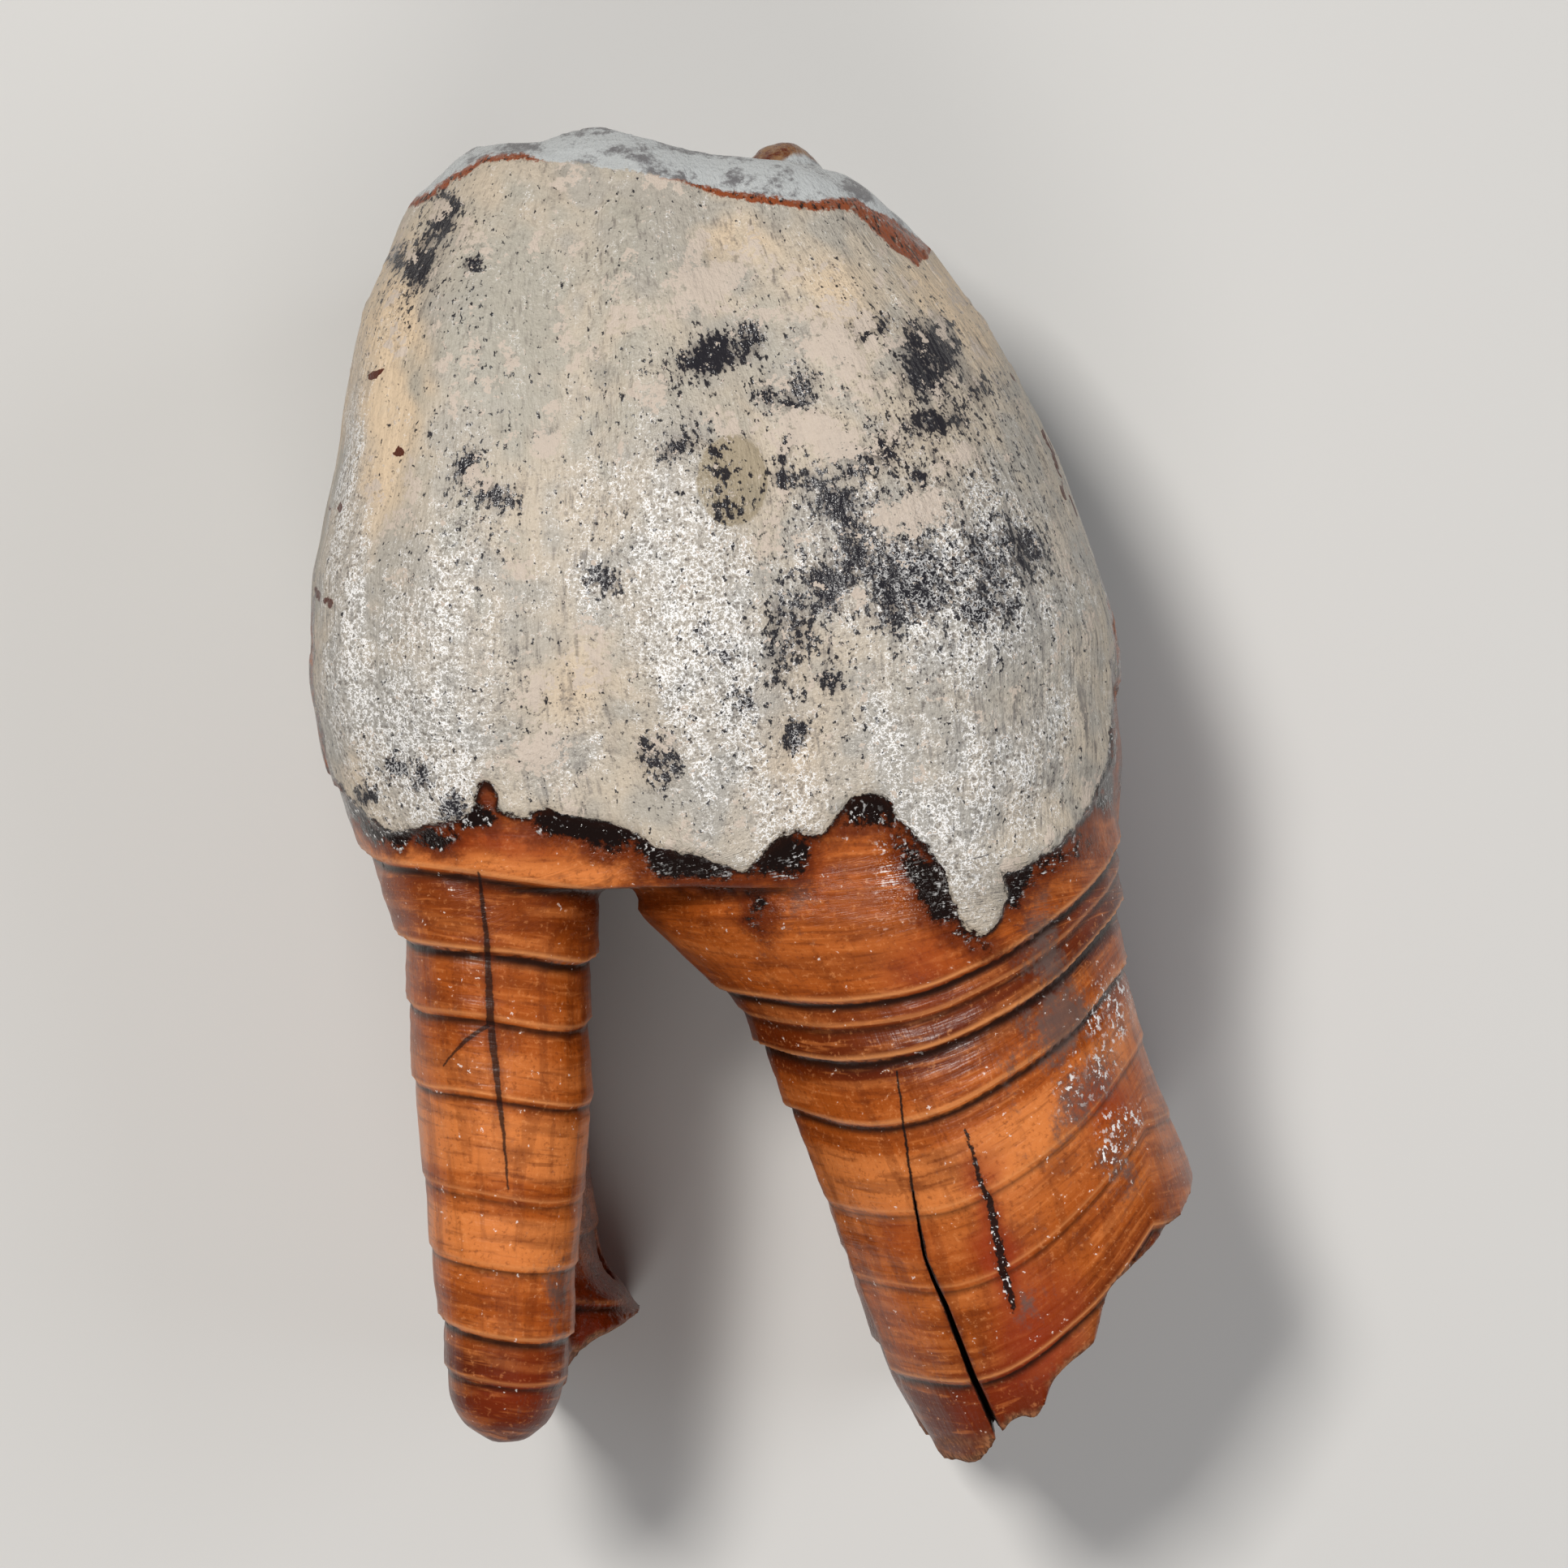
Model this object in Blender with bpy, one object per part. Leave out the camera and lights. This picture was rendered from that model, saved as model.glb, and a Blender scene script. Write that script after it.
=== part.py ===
# A worn right upper cheek tooth of a woolly rhinoceros, a fossil, lying on its tongue side.
# The biting end points to +Y and the roots to -Y, and the cheek side faces up, to +Z.
# Lengths are in millimetres until the mesh is made, which turns them into Blender's metres.
import math

import bpy
import numpy as np
from mathutils import Vector, noise

MM = 0.001

# The crown: heights along the tooth are (y, value) points on smooth curves.
CROWN_LEFT = [(-9, -21.9), (-4, -23.7), (-1, -25.1), (4, -26.4), (8, -26.9), (13, -26.8),
              (16, -26.1), (21, -25.1), (24, -24.8), (29, -23.8), (34, -21.7), (37, -20.5),
              (40, -19.2)]
CROWN_RIGHT = [(-9, 22.2), (-4, 22.4), (2, 22.9), (6, 22.5), (9, 22.4), (14, 21.0), (19, 19.2),
               (24, 16.9), (29, 14.1), (34, 10.5), (37, 8.9), (40, 6.9)]
CROWN_FRONT = [(-9, 40.0), (-5, 42.6), (0, 43.8), (9, 45.0), (18, 44.2), (27, 42.2),
               (34, 39.6), (37, 38.2), (41, 35.8)]
CROWN_BACK = [(-9, 3.6), (-3, 1.6), (2, 2.6), (10, 0.3), (20, -0.5), (28, -0.2), (33, 1.4), (40, 4.2)]
CROWN_BOTTOM = -5.6
CROWN_AXIS_Z = 22.0
# How square each quarter is: 2 is an ellipse, more is squarer.
SQUARENESS = {"front_left": 4.4, "front_right": 3.0, "back_left": 2.7, "back_right": 2.6}
# Upright waves of the cheek wall: (share of the width from the left, height).
WALL_WAVES = [(0.0, 0.0), (0.045, 0.35), (0.085, -0.35), (0.155, 0.55), (0.32, -0.55),
              (0.47, 0.65), (0.63, -0.5), (0.79, 0.4), (0.92, -0.1), (1.0, 0.0)]
# Height of the biting edge round the crown: (degrees from +X towards +Z, y).
RIM = [(-180, 35.6), (-150, 35.2), (-125, 36.2), (-105, 33.6), (-96, 31.4), (-86, 33.2),
       (-65, 35.4), (-40, 34.6), (0, 33.8), (20, 34.8), (30, 36.0), (38, 37.0), (45, 37.8),
       (57, 38.3), (74, 38.8), (85, 39.3), (96, 40.0), (105, 40.5), (111, 40.1),
       (117, 39.4), (128, 39.4), (133, 39.4), (138, 38.4), (150, 36.9), (180, 35.6)]
RIM_BEVEL = 2.4
# The groove between the two inner lobes, deep at the biting edge: (y, depth).
LOBE_GROOVE = [(-8, 0.8), (6, 1.8), (16, 3.6), (26, 6.0), (34, 9.0)]
LOBE_GROOVE_ANGLE = -96
LOBE_GROOVE_WIDTH = 13

# The biting surface: worn dentine between enamel crests, with closed pits and one open valley.
BASIN_CENTRE = (-6.5, 20.0)
BASIN_HEIGHT = 35.2
DENTINE_DIP = 1.7
ENAMEL_WIDTH = 2.2
PITS = [
    {"x": -9.8, "z": 28.0, "long": 3.3, "wide": 2.0, "turn": 18, "deep": 6.5},
    {"x": 0.6, "z": 14.2, "long": 3.0, "wide": 2.1, "turn": 62, "deep": 6.0},
]
VALLEY = {"from": (-6.2, 18.0), "to": (-8.2, 2.0), "half_width": 1.7, "deep": 6.0}
INNER_CREST = {"from": (2.0, 30.0), "to": (1.4, 21.0), "half_width": 4.0, "top": 40.0}

# Roots as tubes: (y, left x, right x, front z, back z) down each one.
FRONT_LEFT_ROOT = [
    (2, -23.2, -8.6, 41.0, 22.0), (-5, -23.0, -9.2, 41.4, 22.0), (-9, -21.6, -9.6, 40.6, 23.0),
    (-13, -21.2, -10.0, 39.6, 24.0), (-19, -20.6, -10.0, 38.8, 24.5),
    (-24, -20.1, -10.3, 38.0, 25.0), (-29, -19.7, -10.9, 37.2, 25.5),
    (-33, -19.2, -11.2, 36.4, 26.0), (-36.5, -18.8, -11.6, 35.4, 26.8),
    (-38.6, -17.8, -12.5, 34.0, 28.0), (-39.8, -16.0, -14.0, 32.4, 30.0)]
REAR_LEFT_ROOT = [
    (2, -22.0, -8.6, 20.0, 2.6), (-6, -21.4, -10.2, 20.0, 2.0), (-12, -20.4, -11.0, 19.0, 1.2),
    (-20, -18.8, -10.9, 18.0, 0.4), (-27, -17.4, -10.4, 17.0, -0.4),
    (-30.5, -16.6, -9.8, 16.6, -0.4), (-32.2, -16.2, -8.4, 16.2, -0.4),
    (-34, -15.8, -7.2, 16.0, -0.4), (-40, -15.0, -6.4, 15.0, 0.4)]
LEFT_WEB = [
    (2, -19.5, -10.8, 30.0, 12.0), (-8, -18.5, -11.8, 30.0, 12.0), (-20, -17.4, -12.0, 30.0, 11.0),
    (-30, -16.6, -11.6, 29.0, 10.0), (-38, -16.0, -11.6, 28.0, 10.0)]
RIGHT_ROOT = [
    (3, -6.2, 21.6, 41.0, 5.0), (-4, -6.4, 22.0, 42.4, 4.0), (-7, -6.6, 22.1, 42.0, 3.6),
    (-9, -4.9, 22.3, 41.5, 3.4), (-11, -2.8, 22.7, 41.0, 3.0), (-13, -0.9, 23.2, 40.6, 2.6),
    (-17, 1.0, 24.5, 40.0, 1.6), (-21, 2.8, 26.3, 39.4, 0.8), (-25, 4.3, 27.8, 38.8, 0.2),
    (-29, 5.7, 28.6, 38.0, -0.3), (-33, 7.1, 29.0, 37.0, -0.4), (-37, 8.6, 29.0, 36.0, -0.2),
    (-41, 10.8, 28.8, 35.0, 1.0), (-44, 12.4, 28.4, 34.0, 2.0)]
ROOT_SQUARENESS = 2.5
RIGHT_WAIST = {"z": 20.0, "reach": 7.0, "share": 0.26, "swell": 1.11}

# Old breaks across the roots, seen from the cheek side: (x, y) along each broken edge.
RIGHT_BREAK = [(9, -45), (12.1, -41.6), (13.2, -41.3), (14.2, -40.8), (14.9, -39.2), (16.1, -37.8),
               (17.1, -38.2), (17.8, -37.8), (18.2, -36.0), (19.0, -34.8), (20.4, -33.6),
               (20.9, -32.8), (21.2, -31.2), (21.8, -29.9), (24.4, -27.5), (27.0, -24.9), (31, -21)]
LEFT_BREAK = [(-18, -39.0), (-14, -38.2), (-12.1, -37.1), (-11.4, -35.8), (-10.5, -34.7),
              (-8.6, -34.0), (-7.4, -33.5), (-4, -33.0)]
BREAK_RISE = {"right": 0.08, "left": 0.0}
ROOT_CANALS = [
    {"tube": "right", "x": 19.2, "y": -34.0, "z": 28.0, "radii": (2.7, 9.0, 2.0), "lean": 18},
    {"tube": "right", "x": 20.5, "y": -31.5, "z": 10.5, "radii": (2.6, 9.0, 2.2), "lean": 18},
    {"tube": "rear_left", "x": -11.6, "y": -36.0, "z": 8.0, "radii": (1.9, 8.0, 2.3), "lean": -10},
]

# Growth ledges of the root cement: (line, step depth). A line is the y where it crosses the
# middle of the root's cheek face, and 'line_of' gives the line through any point.
LEFT_LEDGES = [(-5.0, 0.5), (-9.6, 0.65), (-13.6, 0.35), (-18.4, 0.3), (-24.4, 0.12),
               (-28.6, 0.2), (-33.1, 0.45), (-36.1, 0.25)]
RIGHT_LEDGES = [(-12.6, 0.5), (-14.2, 0.25), (-16.3, 0.65), (-20.2, 0.45), (-25.9, 0.15),
                (-30.6, 0.15), (-36.6, 0.35)]
LEDGE_LIP = {"height": 0.35, "reach": 0.9}
LEDGE_STEP = {"depth": 0.65, "reach": 1.5}
LEDGE_HALF_WIDTH = 0.5
# Left lines tilt down to the right about the root's middle. Right lines curl up past 'curl_from',
# more so low on the root. Both drop as the face turns away from the cheek side.
LEFT_LINES = {"tilt": 0.14, "middle": -15.5, "drop": 1.2, "front": 37.0}
RIGHT_LINES = {"curl": 0.027, "curl_low": 0.0008, "curl_from": 4.5, "lean": 0.29, "low": -16.0,
               "most_curl": 10.0, "drop": 1.4, "front": 38.0}
LINE_DROP_REACH = 9.0
# The left root's lines give way to the right root's between these two x.
ROOTS_MEET = (-9.2, -7.4)

# Lower edge of the pale crown cover on the cheek side: (x, y). It goes on round the sides.
COVER_EDGE = [
    (-26.4, 3.0), (-25.8, 1.0), (-24.8, -0.5), (-23.6, -1.6), (-22.4, -2.2),
    (-19.5, -2.0), (-18.1, -1.6), (-17.2, -0.4), (-16.8, 0.7), (-16.2, 0.6), (-15.8, -1.0),
    (-14.0, -1.4), (-13.4, -0.6), (-11.0, -1.2), (-8.0, -2.0), (-4.4, -3.6), (-1.6, -4.6),
    (-0.5, -5.0), (0.2, -4.2), (1.4, -2.8), (2.8, -2.2), (4.1, -2.5), (5.3, -1.4), (6.2, -0.3),
    (7.8, 0.2), (8.7, -0.4), (9.4, -1.8), (10.8, -3.2), (12.0, -5.0), (12.5, -7.0), (13.1, -8.2),
    (14.3, -8.6), (15.2, -7.8), (15.6, -6.4), (15.9, -4.6), (17.2, -4.4), (19.0, -3.2),
    (20.6, -1.4), (21.4, 0.6), (22.0, 4.0), (22.4, 9.0)]
COVER_EDGE_SIDES = [(-180, 14.0), (-150, 9.0), (-125, 4.5), (-96, 6.0), (-60, 4.0), (-25, 10.0),
                    (0, 15.0), (25, 14.0), (150, 10.0)]
COVER_THICKNESS = 0.45

# The open crack of the right root, on its cheek face: (x, y, half the gap).
CRACK = [(9.7, -24.0, 0.04), (10.4, -28.0, 0.08), (11.0, -29.6, 0.12), (11.7, -31.0, 0.16),
         (13.4, -35.5, 0.22), (14.2, -37.2, 0.25), (14.9, -38.8, 0.30), (16.3, -42.3, 0.38)]
CRACK_DEPTH = 4.0
CRACK_CLEAR = 1.5

# Natural unevenness of the whole surface: lump size and height.
BROAD_LUMPS = (7.0, 0.22)
SMALL_LUMPS = ((2.2, 3.5, 2.2), 0.10)
# Roughness of the breaks: lump size and height.
BREAK_LUMPS = ((4.0, 0.9), (1.6, 0.4))
BREAK_WANDER = (5.0, 0.8)

FINE_GRID = 0.75
MOST_TRIANGLES = 9600
REST_BAND = 0.35
FLAT_BAND = 0.12


def through(at, points):
    # Value at 'at' on a smooth curve through the (at, value) points, with no overshoot.
    knots, values = np.array(points, float).T
    steps = np.diff(knots)
    slopes = np.diff(values) / steps
    both = slopes[:-1] * slopes[1:]
    mean = 2 * both / np.where(both > 0, slopes[:-1] + slopes[1:], 1)
    tangents = np.concatenate([slopes[:1], np.where(both > 0, mean, 0), slopes[-1:]])
    at = np.clip(at, knots[0], knots[-1])
    i = np.clip(np.searchsorted(knots, at, side="right") - 1, 0, len(steps) - 1)
    u = (at - knots[i]) / steps[i]
    straight = values[i] * (1 + 2 * u) * (1 - u) ** 2 + values[i + 1] * u * u * (3 - 2 * u)
    bent = steps[i] * (tangents[i] * u * (1 - u) ** 2 - tangents[i + 1] * u * u * (1 - u))
    return straight + bent


def ease(at, low, high):
    # 0 at 'low', 1 at 'high', smooth between.
    t = np.clip((at - low) / (high - low), 0, 1)
    return t * t * (3 - 2 * t)


def lumps(points, size, seed=0.0):
    # Smooth noise from about -1 to 1, with lumps about 'size' mm across. Size may differ by axis.
    scaled = points / np.array(size, float) + seed
    return np.array([noise.noise(Vector(p)) for p in scaled])


def crown_radius(angle, y):
    # Distance from the crown's axis to its wall, and the axis's x.
    left, right = through(y, CROWN_LEFT), through(y, CROWN_RIGHT)
    front, back = through(y, CROWN_FRONT), through(y, CROWN_BACK)
    middle = (left + right) / 2
    cos, sin = np.cos(angle), np.sin(angle)
    half_width = (right - left) / 2
    half_depth = np.where(sin >= 0, front - CROWN_AXIS_Z, CROWN_AXIS_Z - back)
    square = np.where(
        sin >= 0,
        np.where(cos < 0, SQUARENESS["front_left"], SQUARENESS["front_right"]),
        np.where(cos < 0, SQUARENESS["back_left"], SQUARENESS["back_right"]))
    sides = (np.abs(cos) / half_width) ** square + (np.abs(sin) / half_depth) ** square
    radius = sides ** (-1 / square)
    share = (radius * cos + half_width) / (2 * half_width)
    fade = np.clip(sin, 0, 1) ** 2 * (1 - 0.5 * ease(y, 28, 38))
    radius = radius + through(share, WALL_WAVES) * fade
    off_groove = (np.degrees(angle) - LOBE_GROOVE_ANGLE) / LOBE_GROOVE_WIDTH
    radius = radius - through(y, LOBE_GROOVE) * np.exp(-off_groove ** 2)
    return radius, middle


def rim_height(angle):
    return through(np.degrees(angle), RIM)


def segment_distance(x, z, start, end):
    along = np.array(end, float) - np.array(start, float)
    t = ((x - start[0]) * along[0] + (z - start[1]) * along[1]) / (along @ along)
    t = np.clip(t, 0, 1)
    return np.hypot(x - start[0] - t * along[0], z - start[1] - t * along[1])


def pit_distance(x, z, pit):
    # About how far a point lies outside the pit's edge.
    turn = math.radians(pit["turn"])
    dx, dz = x - pit["x"], z - pit["z"]
    u = (dx * math.cos(turn) + dz * math.sin(turn)) / pit["long"]
    v = (dz * math.cos(turn) - dx * math.sin(turn)) / pit["wide"]
    wobble = 1 + 0.13 * np.sin(3 * np.arctan2(v, u) + pit["x"])
    return (np.hypot(u, v) - wobble) * (pit["long"] + pit["wide"]) / 2


def biting_surface(angle, share, x, z, wall):
    # Height of the worn surface, 'share' of the way from its middle to the wall.
    rim = rim_height(angle)
    height = BASIN_HEIGHT + (rim - BASIN_HEIGHT) * share ** 1.4
    inside = (1 - share) * wall
    dentine = ease(inside, ENAMEL_WIDTH * 0.7, ENAMEL_WIDTH * 1.6)
    gaps = [(pit_distance(x, z, pit), pit["deep"]) for pit in PITS]
    valley = segment_distance(x, z, VALLEY["from"], VALLEY["to"]) - VALLEY["half_width"]
    gaps.append((valley, VALLEY["deep"]))
    for gap, deep in gaps:
        dentine = dentine * ease(gap, ENAMEL_WIDTH * 0.5, ENAMEL_WIDTH * 1.3)
    height = height - DENTINE_DIP * dentine
    crest = segment_distance(x, z, INNER_CREST["from"], INNER_CREST["to"])
    crest = np.exp(-(crest / INNER_CREST["half_width"]) ** 2) * ease(inside, 0, 4)
    height = height + (INNER_CREST["top"] - height) * crest
    for gap, deep in gaps:
        height = height - deep * ease(-gap, -0.3, 1.5)
    return height


def crown_rings(around, rings, cap_rings):
    # Rings up the wall, then rings in over the biting surface.
    angle = np.linspace(-math.pi, math.pi, around, endpoint=False)
    rim = rim_height(angle)
    made = []
    for share in (0.4, 0.75, 0.92):
        radius, middle = crown_radius(angle, np.full(around, CROWN_BOTTOM))
        made.append(ring_at(angle, radius * share, middle, CROWN_BOTTOM - 0.4 * (1 - share)))
    for rise in np.linspace(0, 1, rings):
        y = CROWN_BOTTOM + (rim - CROWN_BOTTOM) * rise
        radius, middle = crown_radius(angle, y)
        radius = radius - 1.5 * ease(y, rim - RIM_BEVEL, rim + 0.6) ** 2
        made.append(ring_at(angle, radius, middle, y))
    edge = made[-1]
    for share in np.linspace(1, 0, cap_rings + 1)[1:-1]:
        x = BASIN_CENTRE[0] + (edge[:, 0] - BASIN_CENTRE[0]) * share
        z = BASIN_CENTRE[1] + (edge[:, 2] - BASIN_CENTRE[1]) * share
        wall = np.hypot(edge[:, 0] - BASIN_CENTRE[0], edge[:, 2] - BASIN_CENTRE[1])
        made.append(np.column_stack([x, biting_surface(angle, share, x, z, wall), z]))
    return made


def ring_at(angle, radius, middle, y):
    x = middle + radius * np.cos(angle)
    z = CROWN_AXIS_Z + radius * np.sin(angle)
    return np.column_stack([x, np.broadcast_to(y, x.shape), z])


def tube_rings(levels, around, spacing, waist=None):
    # Rings down a root, closed in at both ends.
    levels = np.array(levels, float)[::-1]
    low, high = levels[0, 0], levels[-1, 0]
    angle = np.linspace(-math.pi, math.pi, around, endpoint=False)
    cos, sin = np.cos(angle), np.sin(angle)
    out = (np.abs(cos) ** ROOT_SQUARENESS + np.abs(sin) ** ROOT_SQUARENESS) ** (-1 / ROOT_SQUARENESS)
    made = []
    for y in np.linspace(high, low, max(3, round((high - low) / spacing))):
        left, right, front, back = (float(through(y, levels[:, (0, k)])) for k in (1, 2, 3, 4))
        z = (front + back) / 2 + (front - back) / 2 * out * sin
        wide = (right - left) / 2 * out * cos
        if waist:
            pinch = waist["share"] * np.exp(-((z - waist["z"]) / waist["reach"]) ** 2)
            wide = wide * (waist["swell"] - pinch)
        made.append(np.column_stack([(left + right) / 2 + wide, np.full(around, y), z]))
    return made


def mesh_object(name, points, faces):
    mesh = bpy.data.meshes.new(name)
    mesh.from_pydata((np.asarray(points) * MM).tolist(), [], faces)
    mesh.update()
    made = bpy.data.objects.new(name, mesh)
    bpy.context.scene.collection.objects.link(made)
    return made


def loft(name, rings):
    # A closed skin over the rings, each end drawn in to one point.
    around = len(rings[0])
    points = np.concatenate([*rings, [rings[0].mean(axis=0)], [rings[-1].mean(axis=0)]])
    first, last = len(points) - 2, len(points) - 1
    faces = []
    for k in range(len(rings) - 1):
        for a in range(around):
            b = (a + 1) % around
            faces.append((k * around + a, k * around + b, (k + 1) * around + b, (k + 1) * around + a))
    top = (len(rings) - 1) * around
    for a in range(around):
        b = (a + 1) % around
        faces.append((first, b, a))
        faces.append((last, top + a, top + b))
    made = mesh_object(name, points, faces)
    face_out(made)
    return made


def face_out(made):
    # Turns the faces round if the skin is inside out.
    mesh = made.data
    mesh.calc_loop_triangles()
    points = np.array([v.co for v in mesh.vertices])
    corners = points[np.array([t.vertices for t in mesh.loop_triangles])]
    if np.linalg.det(corners).sum() < 0:
        mesh.flip_normals()


def break_block(name, edge, rise, x_range, z_range, cell):
    # A block below a rough broken surface. The surface follows 'edge' at the cheek side.
    xs = np.arange(x_range[0], x_range[1] + cell / 2, cell)
    zs = np.arange(z_range[0], z_range[1] + cell / 2, cell)
    grid_x, grid_z = (g.ravel() for g in np.meshgrid(xs, zs, indexing="ij"))
    flat = np.column_stack([grid_x, np.zeros_like(grid_x), grid_z])
    knots = np.array(edge, float)
    shifted = grid_x + BREAK_WANDER[1] * lumps(flat, BREAK_WANDER[0], 3.0) * ease(36 - grid_z, 0, 8)
    top = np.interp(shifted, knots[:, 0], knots[:, 1])
    top = top + rise * np.clip(36 - grid_z, 0, None)
    for size, height in BREAK_LUMPS:
        top = top + height * lumps(flat, size, 7.0) * ease(38 - grid_z, 0, 6)
    points = np.concatenate([
        np.column_stack([grid_x, top, grid_z]), np.column_stack([grid_x, 0 * top - 60, grid_z])])
    wide, deep = len(xs), len(zs)
    count = wide * deep
    faces = []
    for i in range(wide - 1):
        for j in range(deep - 1):
            a, b, c, d = i * deep + j, (i + 1) * deep + j, (i + 1) * deep + j + 1, i * deep + j + 1
            faces += [(a, b, c, d), (a + count, d + count, c + count, b + count)]
    border = [i * deep for i in range(wide)]
    border += [(wide - 1) * deep + j for j in range(1, deep)]
    border += [i * deep + deep - 1 for i in range(wide - 2, -1, -1)]
    border += list(range(deep - 2, 0, -1))
    for a, b in zip(border, border[1:] + border[:1]):
        faces.append((a, a + count, b + count, b))
    made = mesh_object(name, points, faces)
    face_out(made)
    return made


def canal(name, spec, around=16, rings=13):
    # A long egg-shaped hollow, leaning with its root.
    made = []
    lean = math.tan(math.radians(spec["lean"]))
    wide, long, deep = spec["radii"]
    angle = np.linspace(-math.pi, math.pi, around, endpoint=False)
    for t in np.linspace(-0.97, 0.97, rings):
        girth = math.sqrt(1 - t * t)
        x = spec["x"] + wide * girth * np.cos(angle) - long * t * lean
        z = spec["z"] + deep * girth * np.sin(angle)
        made.append(np.column_stack([x, np.full(around, spec["y"] + long * t), z]))
    return loft(name, made)


def crack_blade(front_of, middle):
    # A thin wedge that follows the crack, widest at the face and closed at its depth.
    rows = np.array(CRACK, float)
    points = []
    for x, y, half in rows:
        face = front_of(x, y)
        points += [(x - half * 1.3, y, face + CRACK_CLEAR), (x + half * 1.3, y, face + CRACK_CLEAR),
                   (x + half * 0.3, y, face - CRACK_DEPTH), (x - half * 0.3, y, face - CRACK_DEPTH)]
    faces = [(3, 2, 1, 0)]
    for k in range(len(rows) - 1):
        for a in range(4):
            b = (a + 1) % 4
            faces.append((4 * k + a, 4 * k + b, 4 * k + 4 + b, 4 * k + 4 + a))
    end = 4 * (len(rows) - 1)
    faces.append((end, end + 1, end + 2, end + 3))
    made = mesh_object("crack_blade", np.array(points) - (*middle[:2] / MM, 0), faces)
    face_out(made)
    return made


def apply_modifiers(made):
    # Keeps the evaluated mesh as the object's own.
    bpy.context.view_layer.update()
    graph = bpy.context.evaluated_depsgraph_get()
    mesh = bpy.data.meshes.new_from_object(made.evaluated_get(graph))
    made.modifiers.clear()
    made.data = mesh


def cut(made, cutter):
    modifier = made.modifiers.new("cut", "BOOLEAN")
    modifier.operation = "DIFFERENCE"
    modifier.object = cutter
    apply_modifiers(made)
    bpy.data.objects.remove(cutter)


def join(name, parts):
    # One object that holds all the skins, still crossing each other.
    points, faces, base = [], [], 0
    for part in parts:
        points.append(np.array([v.co for v in part.data.vertices]) / MM)
        faces += [tuple(base + v for v in face.vertices) for face in part.data.polygons]
        base += len(part.data.vertices)
        bpy.data.objects.remove(part)
    return mesh_object(name, np.concatenate(points), faces)


def line_of(points):
    # The growth line through each point, as the y where it crosses the middle of its root's
    # cheek face, for the left and the right root, and how far the point belongs to the right.
    x, y, z = points.T
    left = y + LEFT_LINES["tilt"] * (x - LEFT_LINES["middle"])
    below = np.clip(RIGHT_LINES["low"] - y, 0, None)
    off = np.clip(x - RIGHT_LINES["curl_from"] - RIGHT_LINES["lean"] * below, 0, None)
    curl = (RIGHT_LINES["curl"] + RIGHT_LINES["curl_low"] * below) * off ** 2
    right = y - np.clip(curl, 0, RIGHT_LINES["most_curl"])
    left = left - turned_drop(z, LEFT_LINES)
    right = right - turned_drop(z, RIGHT_LINES)
    return left, right, ease(x, *ROOTS_MEET)


def turned_drop(z, lines):
    return lines["drop"] * (1 - np.exp(-np.clip(lines["front"] - z, 0, None) / LINE_DROP_REACH))


def ledge_relief(line, ledges):
    # A lip above each line and a step in below it, which the next band grows out of.
    relief = np.zeros_like(line)
    for at, depth in ledges:
        t = line - at
        above = np.clip(t - LEDGE_HALF_WIDTH, 0, None)
        below = np.clip(-t - LEDGE_HALF_WIDTH, 0, None)
        lip = LEDGE_LIP["height"] * np.exp(-above / LEDGE_LIP["reach"])
        step = -LEDGE_STEP["depth"] * np.exp(-below / LEDGE_STEP["reach"])
        relief = relief + depth * (step + (lip - step) * ease(t, -LEDGE_HALF_WIDTH, LEDGE_HALF_WIDTH))
    return relief


def cover_line(points):
    # The y of the pale cover's lower edge, at each point's place round the crown.
    radius, middle = crown_radius(np.zeros(1), np.zeros(1))
    front = float(through(2.0, CROWN_FRONT)) - CROWN_AXIS_Z
    seen = [(math.degrees(math.atan2(front, x - middle[0])), y) for x, y in COVER_EDGE]
    knots = sorted(COVER_EDGE_SIDES + seen)
    knots.append((180, COVER_EDGE_SIDES[0][1]))
    x, _, z = points.T
    angle = np.degrees(np.arctan2(z - CROWN_AXIS_Z, x - middle[0]))
    return through(angle, knots)


def sculpt(made):
    # Moves the skin along its normals: growth ledges, the cover's edge and natural unevenness.
    mesh = made.data
    count = len(mesh.vertices)
    points, normals = np.empty(count * 3), np.empty(count * 3)
    mesh.vertices.foreach_get("co", points)
    mesh.vertex_normals.foreach_get("vector", normals)
    points, normals = points.reshape(-1, 3) / MM, normals.reshape(-1, 3)
    x, y, z = points.T
    left, right, belongs = line_of(points + 0.25 * lumps(points, (6, 6, 6), 5.0)[:, None])
    relief = (1 - belongs) * ledge_relief(left, LEFT_LEDGES)
    relief = relief + belongs * ledge_relief(right, RIGHT_LEDGES)
    below_cover = cover_line(points) - y
    on_root = ease(below_cover, 0.2, 1.2) * (1 - np.abs(normals[:, 1]) ** 3)
    move = relief * on_root
    on_crown = ease(-below_cover, -0.3, 0.3)
    move = move + COVER_THICKNESS * on_crown * ease(45 - y, 0, 8)
    move = move + BROAD_LUMPS[1] * lumps(points, BROAD_LUMPS[0], 1.0)
    move = move + SMALL_LUMPS[1] * lumps(points, SMALL_LUMPS[0], 2.0)
    points = points + normals * move[:, None]
    points[:, 2] = np.where(points[:, 2] < REST_BAND, 0.0, points[:, 2] - REST_BAND)
    mesh.vertices.foreach_set("co", (points * MM).ravel())
    mesh.update()


def right_front(x, y):
    # The cheek face of the right root under a point of the crack.
    levels = np.array(RIGHT_ROOT, float)[::-1]
    left, right, front, back = (float(through(y, levels[:, (0, k)])) for k in (1, 2, 3, 4))
    off = abs(x - (left + right) / 2) / ((right - left) / 2)
    depth = (1 - min(off, 0.99) ** ROOT_SQUARENESS) ** (1 / ROOT_SQUARENESS)
    return (front + back) / 2 + (front - back) / 2 * depth - REST_BAND


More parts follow.
